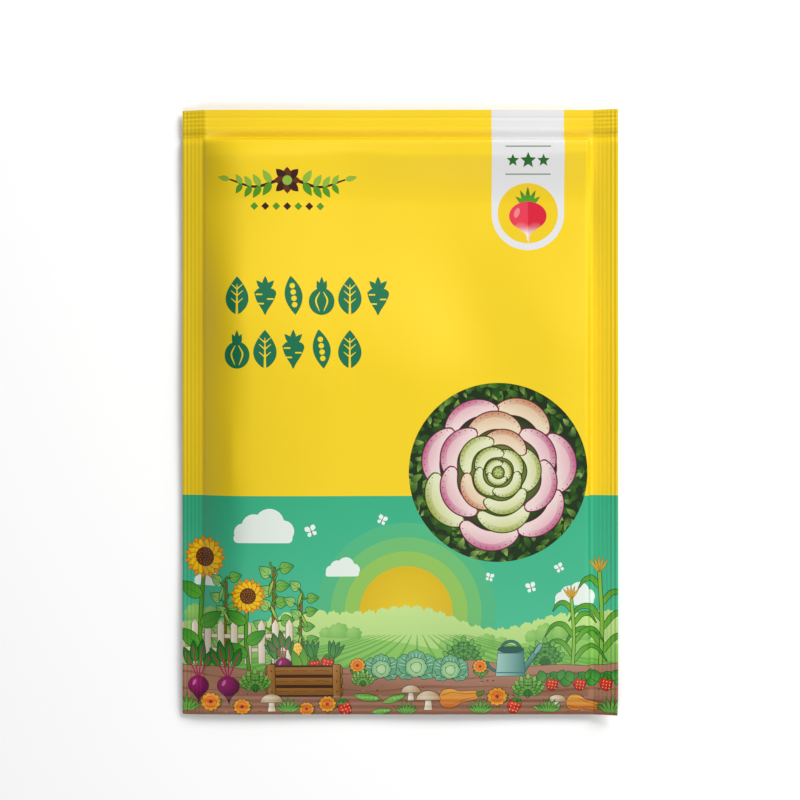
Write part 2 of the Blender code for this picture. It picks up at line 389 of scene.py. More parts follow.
def paintSunflower(art, foot, head, reach, ruler=1.0):
    (footX, footY), (x, y) = foot, head
    stem = smooth([foot, (footX + 0.6 * (x - footX) - 0.5, footY + 0.5 * (y - footY)), (x, y)])
    paint(art, stroke(stem, 0.8 * ruler), "#5FA43A", contour=line)
    for share, turn in ((0.3, 150), (0.45, 28), (0.66, 155)):
        at = stem[int(share * len(stem))]
        paint(art, leaf(at[0], at[1], 6.2 * ruler, 3.2 * ruler, turn, -0.1 if turn > 90 else 0.1),
              "#6DB746", "#3F8F3A", (tuple(at), 6.0 * ruler), contour=line)
        paint(art, stroke(smooth([at, at + 5.2 * ruler * aimed(turn)]), 0.14), "#3F8F3A")
    for ring, (count, size, ink) in enumerate(((15, 1.0, "#E9A21C"), (15, 0.86, "#FFC928"))):
        for i in range(count):
            turn = (i + ring / 2) * 360 / count
            petal = leaf(x, y, reach * size, reach * 0.36, turn, fullness=1.2, points=8)
            paint(art, petal, ink, contour=line * 0.8, edgeInk="#8A5A12")
    paint(art, ellipse(x, y, reach * 0.42, reach * 0.42), "#4A2A12", "#7A4A1E", ((x, y), reach * 0.42),
          contour=line)
    for i in range(26):
        out, turn = reach * 0.36 * math.sqrt((i + 0.5) / 26), i * goldenTurn
        paint(art, ellipse(x + out * math.cos(turn), y + out * math.sin(turn), 0.12, 0.12, 0, 6), "#C58A34")


def paintCabbage(art, x, y, size):
    for turn, ink in ((200, "#2C7A58"), (-20, "#2C7A58"), (150, "#388B62"), (30, "#388B62"), (90, "#46996C")):
        at = (x + 2.3 * size * math.cos(math.radians(turn)), y + 1.4 * size * math.sin(math.radians(turn)))
        outer = lobed(*at, 3.0 * size, 9, 0.14, 0.86, turn)
        paint(art, outer, ink, "#79BD92", (at, 3.0 * size), contour=line)
        for spread in (-28, 0, 28):
            tip = at + 2.2 * size * aimed(turn + spread)
            paint(art, stroke(smooth([(x, y), tip], 3), 0.15), "#C4E6C4")
    heart = lobed(x, y, 2.7 * size, 7, 0.1, 0.92)
    paint(art, heart, "#D3EBB4", "#7FC08A", ((x, y), 2.8 * size), contour=line)
    for turn in (20, 140, 262):
        arc = placed(ellipse(0, 0, 1.5 * size, 1.3 * size, 0, 24)[:11], x, y, turn)
        paint(art, stroke(arc, 0.16), "#4B9A45")


def paintBeet(art, x, y, size, lean=0):
    crown = np.array([x, y + 1.6 * size])
    for turn, length in ((62, 6.4), (118, 6.6), (82, 7.6), (100, 7.4)):
        tip = crown + 0.55 * length * size * aimed(turn + lean)
        paint(art, leaf(*tip, 0.72 * length * size, 2.0 * size, turn + lean, 0.06 if turn < 90 else -0.06),
              "#4C9A3E", "#2F7A38", (tuple(tip), 0.7 * length * size), contour=line)
        rib = smooth([(x, y + 1.4 * size), tip, tip + (tip - crown) * 0.9], 4)
        paint(art, stroke(rib, 0.3 * size), "#B8336B")
    globe = ellipse(0, 0, 2.5, 2.2, 0, 28)
    tail = [(-1.2, -2.0), (-0.3, -3.2), (0.05, -4.6), (0.3, -3.2), (1.2, -2.0)]
    body = np.concatenate([globe[:18], tail, globe[24:]]) * size + (x, y)
    paint(art, body, "#B23A7C", "#6E1C50", ((x - 0.8 * size, y + 1.0 * size), 3.4 * size), contour=line)
    paint(art, ellipse(x - 1.0 * size, y + 0.7 * size, 0.35 * size, 0.8 * size, -25, 12), "#D880AE")


def paintCorn(art, x, y, size, turn=90):
    middle = np.array([x, y]) + 3.4 * size * aimed(turn)
    paint(art, ellipse(*middle, 3.5 * size, 1.35 * size, turn, 26), "#FFD23A", "#EBA51E",
          ((middle[0] - 1.2 * size, middle[1]), (middle[0] + 1.4 * size, middle[1])), contour=line)
    for row in (-0.62, 0, 0.62):
        for i in range(7):
            at = spot((i - 2.6) * 0.86, row * (1 - ((i - 3) / 5.5) ** 2) * 1.2, *middle, turn, size)
            paint(art, ellipse(*at, 0.3 * size, 0.24 * size, turn, 8), "#FFE680")
    for side in (-1, 1):
        paint(art, leaf(x, y, 5.4 * size, 2.3 * size, turn + 24 * side, -0.16 * side), "#8CC653", "#5DA43C",
              ((x, y), 5.0 * size), contour=line)


def paintCornPlant(art, x, foot, top, size=1.0):
    stalk = smooth([(x, foot), (x + 0.4, (foot + top) / 2), (x - 0.2, top)])
    blades = ((0.18, 1, 9.5), (0.30, -1, 9.0), (0.44, 1, 8.5),
              (0.58, -1, 8.0), (0.72, 1, 6.6), (0.84, -1, 5.4))
    for share, side, length in blades:
        at = stalk[int(share * (len(stalk) - 1))]
        reach = length * size
        blade = smooth([at, at + (side * 0.34 * reach, 0.42 * reach), at + (side * 0.7 * reach, 0.40 * reach),
                        at + (side * 0.98 * reach, 0.02 * reach)])
        taper = 1.15 * size * np.sin(np.pi * np.linspace(0.12, 1, len(blade)) ** 0.8) + 0.05
        paint(art, stroke(blade, taper), "#7DBE4A", "#4E9A3A", (tuple(at), reach), contour=line)
    paint(art, stroke(stalk, 0.75 * size), "#8CC653", contour=line)
    for turn in (55, 75, 92, 110, 128):
        plume = leaf(*stalk[-1], 3.6 * size, 0.5 * size, turn)
        paint(art, plume, "#E0B24A", contour=line * 0.7, edgeInk="#8A6A24")


def paintLeek(art, x, y, size, turn):
    foot = (x, y)
    neck = tuple(foot + 5 * size * aimed(turn))
    for spread in (-24, 20, -8, 8):
        blade = leaf(*neck, 6.0 * size, 1.5 * size, turn + spread, spread / 400)
        paint(art, blade, "#5DA848", "#2F7F4C", (neck, 6.0 * size), contour=line)
    shaft = stroke(smooth([foot, neck], 6), 1.35 * size)
    paint(art, shaft, "#F3F4DA", "#8CC66A", (foot, neck), contour=line)


def paintStrawberry(art, x, y, size, turn=0):
    angle = np.linspace(0, 2 * np.pi, 26, endpoint=False)
    radius = 1.75 * (1 - 0.16 * np.cos(angle)) * (1 - 0.22 * np.maximum(np.sin(angle), 0) ** 3)
    form = np.stack([radius * np.sin(angle) * 0.95, -radius * np.cos(angle) * 1.15], 1)
    paint(art, placed(form, x, y, turn, size), "#F0453A", "#C21F2C",
          ((x - 0.5 * size, y + 0.7 * size), 3.0 * size), contour=line)
    for i in range(9):
        at = spot((i % 3 - 1) * 0.85, (i // 3 - 1.2) * 0.85, x, y, turn, size)
        paint(art, ellipse(*at, 0.13 * size, 0.2 * size, 0, 6), "#FFD97A")
    cap = spot(0, 1.5, x, y, turn, size)
    for spread in (-64, -32, 0, 32, 64):
        sepal = leaf(*cap, 1.3 * size, 0.62 * size, 90 + turn + spread * 1.25)
        paint(art, sepal, "#4E9F3C", contour=line * 0.7)


def paintTrefoil(art, x, y, size, turn=90):
    for spread in (-70, 70, 0):
        paint(art, leaf(x, y, 2.9 * size, 2.3 * size, turn + spread, fullness=0.95), "#63B04A", "#3A8840",
              ((x, y), 3.0 * size), contour=line)


def paintMushroom(art, x, y, size):
    middle = smooth([(x, y - 1.9 * size), (x, y + 0.4 * size)], 3)
    paint(art, stroke(middle, size * np.array([1.5, 1.3, 1.1, 1.1])), "#FBF3E0", "#D8C4A0",
          ((x - 0.6 * size, y), (x + 0.8 * size, y)), contour=line)
    cap = ellipse(0, 0, 2.2, 1.75, 0, 28)[:15] * size + (x, y)
    paint(art, cap, "#F2E4C8", "#C9A273", ((x - 0.8 * size, y + 1.2 * size), 2.8 * size), contour=line)


def paintCloud(art, x, y, size):
    ink = "#EDF7EE"
    for dx, dy, reach in ((-3.6, 0.2, 1.7), (-1.6, 1.3, 2.3), (1.2, 1.9, 2.7), (3.7, 0.5, 2.0)):
        paint(art, ellipse(x + dx * size, y + dy * size, reach * size, reach * size, 0, 22), ink)
    paint(art, plate(x, y - 0.85 * size, 10.8 * size, 1.6 * size, 0.8 * size), ink)


def paintButterfly(art, x, y, size, turn):
    for side in (-1, 1):
        for spread, length, breadth in ((52, 2.0, 1.35), (-38, 1.45, 1.1)):
            angle = 90 + turn - side * (90 - spread)
            paint(art, leaf(x, y, length * size, breadth * size, angle, fullness=1.5, points=9), "#F4FBF4")
    paint(art, ellipse(x, y + 0.1, 0.14 * size, 0.75 * size, turn, 8), "#2F6E5A")


def paintCrate(art, x, y, across, along):
    wood, dark = "#B9834A", "#7A4E24"
    paint(art, plate(x, y, across - 0.6, along, 0.1), "#5B3A1C", contour=line)
    for i in range(3):
        at = y - along / 2 + (i + 0.5) * along / 3
        paint(art, plate(x, at, across, along / 3 - 0.75, 0.2), wood, "#9A6733",
              ((x, at + along / 6), (x, at - along / 6)), contour=line)
        for j in (-0.31, -0.06, 0.22):
            grain = smooth([(x + j * across - 1.4, at + 0.3 * j), (x + j * across, at + 0.25 * j + 0.12),
                            (x + j * across + 1.9, at - 0.2 * j)], 4)
            paint(art, stroke(grain, 0.13), dark)
    for side in (-1, 1):
        post = x + side * (across / 2 - 1.3)
        board = plate(post, y, 1.7, along + 0.5, 0.2)
        paint(art, board, "#C79256", "#A06D38", ((post - 1, y), (post + 1, y)), contour=line)
        for i in range(3):
            paint(art, ellipse(post, y - along / 2 + (i + 0.5) * along / 3, 0.22, 0.22, 0, 8), dark)


def paintWateringCan(art, x, y, size):
    tin, shade = "#7FB7AE", "#3F8077"
    handle = placed(ellipse(0, 0, 2.9, 3.1, 0, 30)[20:] * (-1, 1), x - 3.3 * size, y + 0.6 * size, 0, size)
    paint(art, stroke(handle, 0.55 * size), shade, contour=line)
    arch = placed(ellipse(0, 0, 2.5, 2.4, 0, 30)[:16], x, y + 3.0 * size, 0, size)
    paint(art, stroke(arch, 0.5 * size), shade, contour=line)
    spout = np.array([(2.6, -2.2), (6.4, 3.3), (7.3, 2.7), (3.4, -3.2)]) * size + (x, y)
    paint(art, spout, tin, shade, ((x + 4 * size, y + 1.4 * size), (x + 5.6 * size, y - 0.4 * size)),
          contour=line)
    rose = placed(ellipse(0, 0, 0.55, 1.75, 0, 18), x + 7.1 * size, y + 3.4 * size, -34, size)
    paint(art, rose, tin, contour=line)
    body = np.array([(-3.3, 3.2), (-3.8, -3.8), (3.8, -3.8), (3.3, 3.2)]) * size + (x, y)
    paint(art, body, "#A5D2C8", shade, ((x - 3.2 * size, y), (x + 4.2 * size, y)), contour=line)
    for level in (-2.9, 2.3):
        paint(art, plate(x, y + level * size, (7.3 if level < 0 else 6.7) * size, 0.3 * size, 0.1), shade)
    paint(art, placed(ellipse(0, 0, 3.3, 0.75, 0, 26), x, y + 3.2 * size, 0, size), "#2F625B", contour=line)


def paintGrass(art, x, y, size, blades=7):
    for i in range(blades):
        lean = (i / (blades - 1) - 0.5) * 96
        length = (3.4 - abs(lean) * 0.018) * size
        blade = leaf(x + lean * 0.012 * size, y, length, 0.55 * size, 90 - lean, -lean / 260, points=7)
        paint(art, blade, "#8CCB5E", "#4D9A40", ((x, y), 3.4 * size), contour=line * 0.8)


def paintPeaPod(art, x, y, size, turn):
    pod = leaf(x, y, 6.2 * size, 1.7 * size, turn, 0.05, 1.0, 14)
    paint(art, pod, "#8CCB5E", "#5AA548", ((x, y), 6.0 * size), contour=line)
    for i in range(5):
        at = tuple(spot(1.2 + i * 0.95, 0.05 + 0.012 * i * i, x, y, turn, size))
        pea = ellipse(*at, 0.44 * size, 0.44 * size, 0, 12)
        paint(art, pea, "#B9E57E", "#7DC158", (at, 0.5 * size))


def paintMarigold(art, x, y, size, foot=3.4):
    stem = smooth([(x + 0.3, y - foot * size), (x + 0.1, y - 0.5 * foot * size), (x, y)])
    paint(art, stroke(stem, 0.5 * size), "#5FA43A", contour=line)
    for side in (-1, 1):
        for share in (0.25, 0.6):
            at = stem[int(share * len(stem))]
            paint(art, leaf(*at, 2.5 * size, 0.95 * size, 90 - side * 52, side * -0.1), "#6DB746", "#3F8F3A",
                  (tuple(at), 2.5 * size), contour=line)
    outer, inner = lobed(x, y, 1.9 * size, 11, 0.18, 0.95, 8), lobed(x, y, 1.15 * size, 8, 0.2, 0.95, 30)
    paint(art, outer, "#F07A20", "#FFB02E", ((x, y), 1.9 * size), contour=line)
    paint(art, inner, "#E25A18", "#FF9A28", ((x, y), 1.2 * size), contour=line * 0.7, edgeInk="#A2430E")
    paint(art, ellipse(x, y, 0.35 * size, 0.32 * size, 0, 10), "#8A3A10")


def paintSquash(art, x, y, size, turn):
    body = smooth([(-3.4, 0), (-2.6, 1.6), (-0.8, 1.9), (0.8, 1.15), (2.6, 1.0), (3.9, 0.8), (4.3, 0),
                   (3.9, -0.8), (2.6, -1.0), (0.8, -1.15), (-0.8, -1.9), (-2.6, -1.6), (-3.4, 0)])[:-1]
    paint(art, placed(body, x, y, turn, size), "#F5B04C", "#DB7A26",
          ((x, y + 1.4 * size), (x, y - 1.8 * size)), contour=line)
    for level in (-0.42, 0.38):
        bow = smooth([(-2.7, level * 2.2), (-0.6, level * 2.9), (1.6, level * 1.4), (3.8, level)])
        paint(art, stroke(placed(bow, x, y, turn, size), 0.15), "#B86018")
    tip = placed(np.array([[4.0, 0], [5.4, 0.35]]), x, y, turn, size)
    paint(art, stroke(smooth(tip, 4), np.linspace(0.9, 0.55, 5) * size), "#6E8B35", contour=line)


# a low herb: stems in a fan, each with leaves in pairs and one at its tip
def paintHerb(art, x, y, size, light="#8CCB5E", deep="#4D9A40", stems=7, tall=5.4):
    for i in sorted(range(stems), key=lambda i: -abs(i - (stems - 1) / 2)):
        lean = (i / (stems - 1) - 0.5) * 104
        reach = tall * size * (1 - abs(lean) / 190)
        c, s = aimed(90 - lean)
        middle, tip = (x + 0.5 * reach * c, y + 0.55 * reach * s), (x + reach * c, y + 0.96 * reach * s)
        stem = smooth([(x, y), middle, tip])
        paint(art, stroke(stem, 0.3 * size), deep, contour=line * 0.7)
        for share in (0.45, 0.68, 0.86):
            at = stem[int(share * (len(stem) - 1))]
            for side in (-1, 1):
                paint(art, leaf(*at, 1.5 * size, 0.95 * size, 90 - lean + side * 58, points=8), light, deep,
                      (tuple(at), 1.6 * size), contour=line * 0.8)
        paint(art, leaf(*stem[-1], 1.7 * size, 1.1 * size, 90 - lean, points=8), light, contour=line * 0.8)


# a climbing bean: a pole, a vine that sways round it, broad leaves on stalks by turns and hanging pods
def paintBeanPole(art, x, foot, top, size=1.0):
    paint(art, plate(x, (foot + top) / 2, 0.55 * size, top - foot, 0.1, -1), "#9A6B3C", contour=line)
    level = np.linspace(foot, top + 1.2, 60)
    vine = np.stack([x + 0.75 * size * np.sin((level - foot) * 1.25), level], 1)
    paint(art, stroke(vine, 0.34 * size), "#5FA43A", contour=line * 0.8)
    for i in range(int((top - foot) / (1.9 * size))):
        at = vine[min(59, int((i + 0.6) * 60 / ((top - foot) / (1.9 * size))))]
        side = 1 if i % 2 else -1
        rise = (34, 12, 50, 22)[i % 4]
        aim = rise if side > 0 else 180 - rise
        light, deep = (("#B4E084", "#6DB356"), ("#93CF66", "#4B9A40"))[i % 2]
        out = np.array([at, spot(1.3 * size, 0, *at, aim)])
        paint(art, stroke(smooth(out, 3), 0.24 * size), "#5FA43A", contour=line * 0.8)
        if i % 3 == 1:
            paint(art, leaf(*at, 4.2 * size, 0.7 * size, -90 + side * 20, 0.08, 1.0), "#B7D76A", "#7DB347",
                  (tuple(at), 4.2 * size), contour=line)
        blade = leaf(*out[1], 3.3 * size, 2.7 * size, aim - 12 * side, 0.05 * side, 0.58, 15)
        paint(art, blade, light, deep, (tuple(out[1]), 3.4 * size), contour=line)
        for spread, reach in ((0, 2.7), (34, 1.5), (-34, 1.5)):
            rib = placed(np.array([[0, 0], [reach * size, 0]]), *out[1], aim - 12 * side + spread)
            paint(art, stroke(smooth(rib, 3), 0.12), "#3F8436")


# a stem with two leaves
def paintSeedling(art, x, foot, tall, size):
    paint(art, stroke(smooth([(x, foot), (x, foot + tall)], 4), 0.42), "#287A58")
    for turn in (32, 148):
        paint(art, leaf(x, foot + tall - 0.2, size, 0.45 * size, turn), "#5C9A37")


# a round tree crown on the far hills
def paintTree(art, x, y, reach, light, deep):
    crown = lobed(x, y, reach, 9, 0.16, 0.9, 12)
    paint(art, crown, light, deep, ((x - 0.3 * reach, y + 0.4 * reach), 1.5 * reach))


# The front's print

layout = {
    "tealTop": -18.9,  # where the yellow ground ends, from the packet's middle
    "tagX": 29.4, "tagEnd": 45.5, "tagReach": 8.3, "discReach": 6.9,
    "picture": (22.5, -13.6), "pictureReach": 20.4,
    "titleX": -36.9, "titleRows": (26.6, 14.4), "titleHeight": 8.8, "titlePitch": 6.4,
    "crestX": -25.6, "crestY": 52.8,
}
yellowInk, tealInk = "#FCD938", "#47B78B"


def paintGround(art):
    paint(art, plate(0, 0, width + 4, height + 4), yellowInk)
    top = layout["tealTop"]
    paint(art, plate(0, (top - height / 2 - 2) / 2, width + 4, top + height / 2 + 2), tealInk, "#58C49A",
          ((0, top), (0, -52)))


def paintTag(art):
    x, end, reach = layout["tagX"], layout["tagEnd"], layout["tagReach"]
    half = ellipse(0, 0, reach, reach, 180, 48)[:25] + (x, end)
    tag = np.concatenate([half, [(x + reach, height / 2 + 2), (x - reach, height / 2 + 2)]])
    paint(art, tag, "#E9E9EA")
    for level in (60.9, 54.6):
        paint(art, plate(x, level, 10.4, 0.28, 0.1), "#7F927A")
    for i in (-1, 0, 1):
        paint(art, star(x + 3.5 * i, 57.7, 1.5 if i else 1.9, 5, 0.45), "#2C6E2A")
    paint(art, ellipse(x, end + 0.2, layout["discReach"], layout["discReach"], 0, 56), "#F6D335")
    paintRadish(art, x, end - 0.4, 1.0)


def paintCrest(art):
    x, y = layout["crestX"], layout["crestY"]
    brown, green, lime = "#4B2A12", "#5C9A37", "#97BD4C"
    for side in (-1, 1):
        stem = smooth([(x + side * 2.0, y + 0.2), (x + side * 7.5, y - 1.3), (x + side * 13.2, y + 0.4)], 16)
        paint(art, stroke(stem, np.linspace(0.8, 0.35, len(stem))), brown)
        for i, share in enumerate((0.18, 0.38, 0.58, 0.78)):
            at = stem[int(share * (len(stem) - 1))]
            for up in (-1, 1):
                turn = (0 if side > 0 else 180) + side * up * 58
                paint(art, leaf(*at, 3.5 - 0.3 * i, 1.7 - 0.12 * i, turn), lime if up > 0 else green)
        paint(art, leaf(*stem[-1], 2.8, 1.3, 14 if side > 0 else 166), lime)
    for i in range(8):
        length, ink = (3.6, brown) if i % 2 else (3.0, "#6B3F1C")
        paint(art, leaf(x, y + 0.2, length, 1.8, 45 * i, fullness=1.1), ink)
    paint(art, ellipse(x, y + 0.2, 1.1, 1.1, 0, 20), lime)
    for i in range(-3, 4):
        paint(art, plate(x + 2.5 * i, y - 5.7, 1.3, 1.3, 0.1, 45), green if i % 2 else brown)


# one dark vegetable of the title rows, with its lines left open: a leaf, a root, a pod or a bulb
def paintMark(art, kind, x, y, tall):
    ink, half = "#287A58", tall / 2
    if kind == "leaf":
        paint(art, leaf(x, y - half, tall, 5.3, 90, fullness=0.8, points=20), ink)
        middle = smooth([(x, y - half), (x, y + 0.3 * tall)], 6)
        paint(art, stroke(middle, np.linspace(0.6, 0.15, 7)), yellowInk)
        for level in (-0.2, 0.0, 0.17):
            for side in (-1, 1):
                vein = smooth([(x, y + level * tall), (x + 1.35 * side, y + (level + 0.13) * tall)], 4)
                paint(art, stroke(vein, np.linspace(0.34, 0.14, 5)), yellowInk)
    if kind == "root":
        for turn, size in ((48, 0.34), (132, 0.34), (90, 0.37)):
            paint(art, leaf(x, y + 0.14 * tall, size * tall, 1.35, turn, points=12), ink)
        body = smooth([(x - 2.5, y + 0.08 * tall), (x - 1.9, y - 0.14 * tall), (x - 0.6, y - 0.38 * tall),
                       (x, y - half), (x + 0.6, y - 0.38 * tall), (x + 1.9, y - 0.14 * tall),
                       (x + 2.5, y + 0.08 * tall), (x + 1.3, y + 0.19 * tall), (x - 1.3, y + 0.19 * tall),
                       (x - 2.5, y + 0.08 * tall)])[:-1]
        paint(art, body, ink)
        for level, side in ((0.03, -1), (-0.09, 1), (-0.21, -1)):
            across = 1.0 + 1.6 * (level + 0.21)
            paint(art, plate(x + side * across, y + level * tall, 1.5, 0.34, 0.1), yellowInk)
    if kind == "pod":
        paint(art, leaf(x + 0.5, y - half, tall + 0.2, 4.0, 94, 0.06, 1.0, 20), ink)
        for t in (0.26, 0.42, 0.58, 0.74):
            at = (x + 0.5 - 0.63 * t - 0.54 * t * t, y - half + t * (tall + 0.2))
            paint(art, ellipse(*at, 0.62, 0.62, 0, 18), yellowInk)
    if kind == "bulb":
        paint(art, ellipse(x, y - 0.15 * tall, 0.33 * tall, 0.35 * tall, 0, 32), ink)
        for turn, size in ((70, 0.36), (110, 0.36), (90, 0.44)):
            paint(art, leaf(x, y + 0.06 * tall, size * tall, 1.3, turn, points=12), ink)
        for side in (-1, 1):
            bow = smooth([(x + side * 0.4, y + 0.1 * tall), (x + side * 1.3, y - 0.13 * tall),
                          (x + side * 0.5, y - 0.4 * tall)])
            paint(art, stroke(bow, 0.3 * np.sin(np.linspace(0.2, np.pi - 0.2, len(bow))) + 0.08), yellowInk)


# two rows of dark vegetable marks in place of a name
def paintTitle(art):
    rows = (("leaf", "root", "pod", "bulb", "leaf", "root"), ("bulb", "leaf", "root", "pod", "leaf"))
    for kinds, level in zip(rows, layout["titleRows"]):
        for i, kind in enumerate(kinds):
            paintMark(art, kind, layout["titleX"] + layout["titlePitch"] * i, level, layout["titleHeight"])


# a cut rib's inks: its skin, the flesh under the skin, its pale inner side, its pith, and its strings
roseRib = ("#9C3F68", "#C4628A", "#F3DCD8", "#E2A8B8", "#8E3A5E")
blushRib = ("#A4574F", "#CB8A6C", "#F0DFC2", "#E0BC96", "#94503E")
greenRib = ("#77862F", "#A5B04F", "#E9EBC6", "#CBD38A", "#6C7C2E")


# one celery rib cut across: a thick bow with a thin skin, paler towards its inner side, and a row of
# strings near its skin
def paintRib(art, centre, turn, bend, thick, spread, inks, rim):
    skin, flesh, inner, pith, strings = inks
    along = np.linspace(-1, 1, 41)
    run = tuple(tuple(centre + (bend + half) * aimed(turn)) for half in (-thick / 2, thick / 2))
    layers = ((1.0, 0.34, "#2E3A17", None), (1.0, 0.0, skin, None), (0.97, -0.26, inner, flesh),
              (0.86, -0.42 * thick, inner, pith))
    for length, grow, ink, far in layers:
        sweep = np.radians(turn + spread * length * along)
        ray = np.stack([np.cos(sweep), np.sin(sweep)], 1)
        body = np.maximum(thick * (1 - 0.999 * along ** 2) ** 0.34 + grow, 0.02)
        path = centre + (bend - (0.12 * thick if grow < -0.3 else 0)) * ray
        paint(art, stroke(path, body), ink, far, run, inside=rim)
    for share in np.linspace(-0.8, 0.8, 11):
        way = turn + spread * share
        at = centre + (bend + thick * (0.5 * (1 - share ** 2) ** 0.34 - 0.14)) * aimed(way)
        paint(art, ellipse(*at, 0.2, 0.11, way, 6), strings, inside=rim)


# the round picture: a celery heart cut across, over dark leaves
def paintPicture(art, chance):
    (x, y), reach = layout["picture"], layout["pictureReach"]
    rim = ellipse(x, y, reach, reach, 0, 96)
    paint(art, rim, "#2B4010")
    greens = ("#3F661F", "#4E7A29", "#649339", "#83AE50", "#486F22", "#A0C168")
    count = 460
    for i in range(count):
        out, turn = reach * math.sqrt(0.25 + 0.8 * (i + 0.5) / count), i * goldenTurn
        at = (x + out * math.cos(turn), y + out * math.sin(turn))
        size, aim = chance.uniform(1.4, 3.3), chance.uniform(0, 360)
        ink = greens[int(chance.integers(len(greens)))]
        blade = leaf(*at, size, size * 0.5, aim, chance.uniform(-0.15, 0.15), points=7)
        paint(art, blade, "#2C4A15", ink, (at, tuple(at + size * aimed(aim))), inside=rim)
    paint(art, lobed(x, y, 14.2, 7, 0.12, 1, 12), "#8A9A4E", "#2E3F14", ((x, y), 13.5))
    # rings of ribs: how many, how far out, their bend, thickness, half spread and turn
    rings = ((7, 12.2, 7.0, 4.4, 62, 8), (6, 8.9, 6.0, 4.0, 68, 34), (5, 5.8, 4.7, 3.4, 72, 2),
             (4, 3.2, 3.3, 2.6, 78, 40), (3, 1.3, 1.9, 1.7, 86, 15))
    for count, out, bend, thick, spread, shift in rings:
        for i in range(count):
            turn = shift + i * 360 / count + chance.uniform(-7, 7)
            centre = spot(out - bend * 0.5, 0, x, y, turn)
            inks = roseRib if out > 8 and i % 3 != 1 else (blushRib if out > 5 and i % 2 else greenRib)
            paintRib(art, centre, turn, bend, thick * chance.uniform(0.92, 1.06), spread, inks, rim)
    for i in range(7):
        paint(art, leaf(x, y, 1.0, 0.5, i * 51 + 12, points=7), "#8FA84A", "#DDE8A6", ((x, y), 1.0))


# rounded hills, each a sum of two sines, with a scalloped crest of bushes on the far ones
def hill(level, slope, waves, scallop=0):
    x = np.linspace(-width / 2 - 2, width / 2 + 2, 220 if scallop else 90)
    y = level + slope * x / width
    for rise, length, shift in waves:
        y = y + rise * np.sin(2 * np.pi * x / length + shift)
    y = y + scallop * np.abs(np.sin(x * 1.15)) ** 0.6 + scallop * 0.5 * np.abs(np.sin(x * 3.1 + 1))
    return np.concatenate([[(x[0], -height / 2 - 2), (x[-1], -height / 2 - 2)], np.stack([x, y], 1)[::-1]])


# hills that both sides have: their level, slope, waves and scallops
farHill = (-47.5, 3, ((2.6, 74, 2.4), (1.2, 31, 0.5)), 1.0)
soilHill = (-57.6, 1.5, ((0.9, 63, 1), (0.35, 19, 2)))


def paintFields(art):
    sun = (1.5, -45.5)
    for reach, ink in ((20.5, "#5DBF8A"), (17.2, "#79C57A"), (14.0, "#9ACB66"), (10.6, "#EED03A")):
        paint(art, ellipse(*sun, reach, reach, 0, 72), ink, "#E2BF2C" if reach < 11 else ink, (sun, reach))
    for x, y, size in ((-31, -27.5, 1.25), (-13, -36, 0.7), (40, -42.5, 0.85), (-44, -38.5, 0.6)):
        paintCloud(art, x, y, size)
    for x, y, size, turn in ((-20, -27, 0.9, 20), (-4, -24.5, 0.75, -25), (30, -40, 0.8, 15),
                             (20.5, -37.6, 0.65, -15), (36.5, -35.5, 0.7, 30)):
        paintButterfly(art, x, y, size, turn)
    paint(art, hill(*farHill), "#CDEB96", "#B5DF86", ((0, -44), (0, -56)))
    near = hill(-51.5, -5, ((1.8, 88, 4.2), (0.8, 37, 2)))
    crest = near[2:][::-1]
    for x, reach in ((-47, 2.6), (-43.2, 2.0), (-16.6, 1.7), (-13.8, 2.5), (-10.4, 1.9), (10.4, 1.7),
                     (13.2, 2.6), (16.6, 2.0), (19.8, 2.7), (23.2, 1.8), (30.4, 1.9), (33.4, 2.7),
                     (36.8, 2.1), (42.0, 2.4)):
        paintTree(art, x, np.interp(x, crest[:, 0], crest[:, 1]) + 0.55 * reach, reach, "#A9D977", "#6FB45C")
    paint(art, near, "#A2D672", "#86C65F", ((0, -49), (0, -60)))
    for i in range(-9, 10):
        row = smooth([(4 + 1.2 * i, -50.6), (4 + 3.2 * i, -54.5), (4 + 8.0 * i, -62)])
        paint(art, stroke(row, np.linspace(0.12, 0.9, len(row))), "#74B954")


def paintFence(art):
    edge = "#7C6A4A"
    for level in (-50.8, -54.0):
        paint(art, plate(-38, level, 27, 0.85, 0.1, 1.5), "#E8DCC2", contour=line, edgeInk=edge)
    form = np.array([(-0.75, -57.5), (0.75, -57.5), (0.75, -48.6), (0, -47.4), (-0.75, -48.6)])
    for i in range(9):
        x, lift = -50.2 + 3.15 * i, 0.08 * i
        paint(art, form + (x, lift), "#FBF4E2", "#DCCDAE", ((x - 0.8, 0), (x + 0.8, 0)), contour=line,
              edgeInk=edge)


def paintSoil(art, chance):
    paint(art, hill(*soilHill), "#B98A72", "#A3725A", ((0, -57), (0, -69)), contour=line, edgeInk="#6B4634")
    for level in (-60.2, -63.2, -66.4):
        x = np.linspace(-width / 2 - 2, width / 2 + 2, 60)
        y = level + 0.5 * np.sin(x / 7 + level) + 0.25 * np.sin(x / 2.9)
        paint(art, stroke(np.stack([x, y], 1), 0.45 + 0.25 * np.sin(x / 5)), "#9A6B54")
    for _ in range(70):
        at = (chance.uniform(-49, 49), chance.uniform(-69, -59.5))
        ink = ("#7A4F3B", "#C79A80", "#5F3C2C")[int(chance.integers(3))]
        paint(art, ellipse(*at, chance.uniform(0.15, 0.4), chance.uniform(0.1, 0.22), 0, 8), ink)


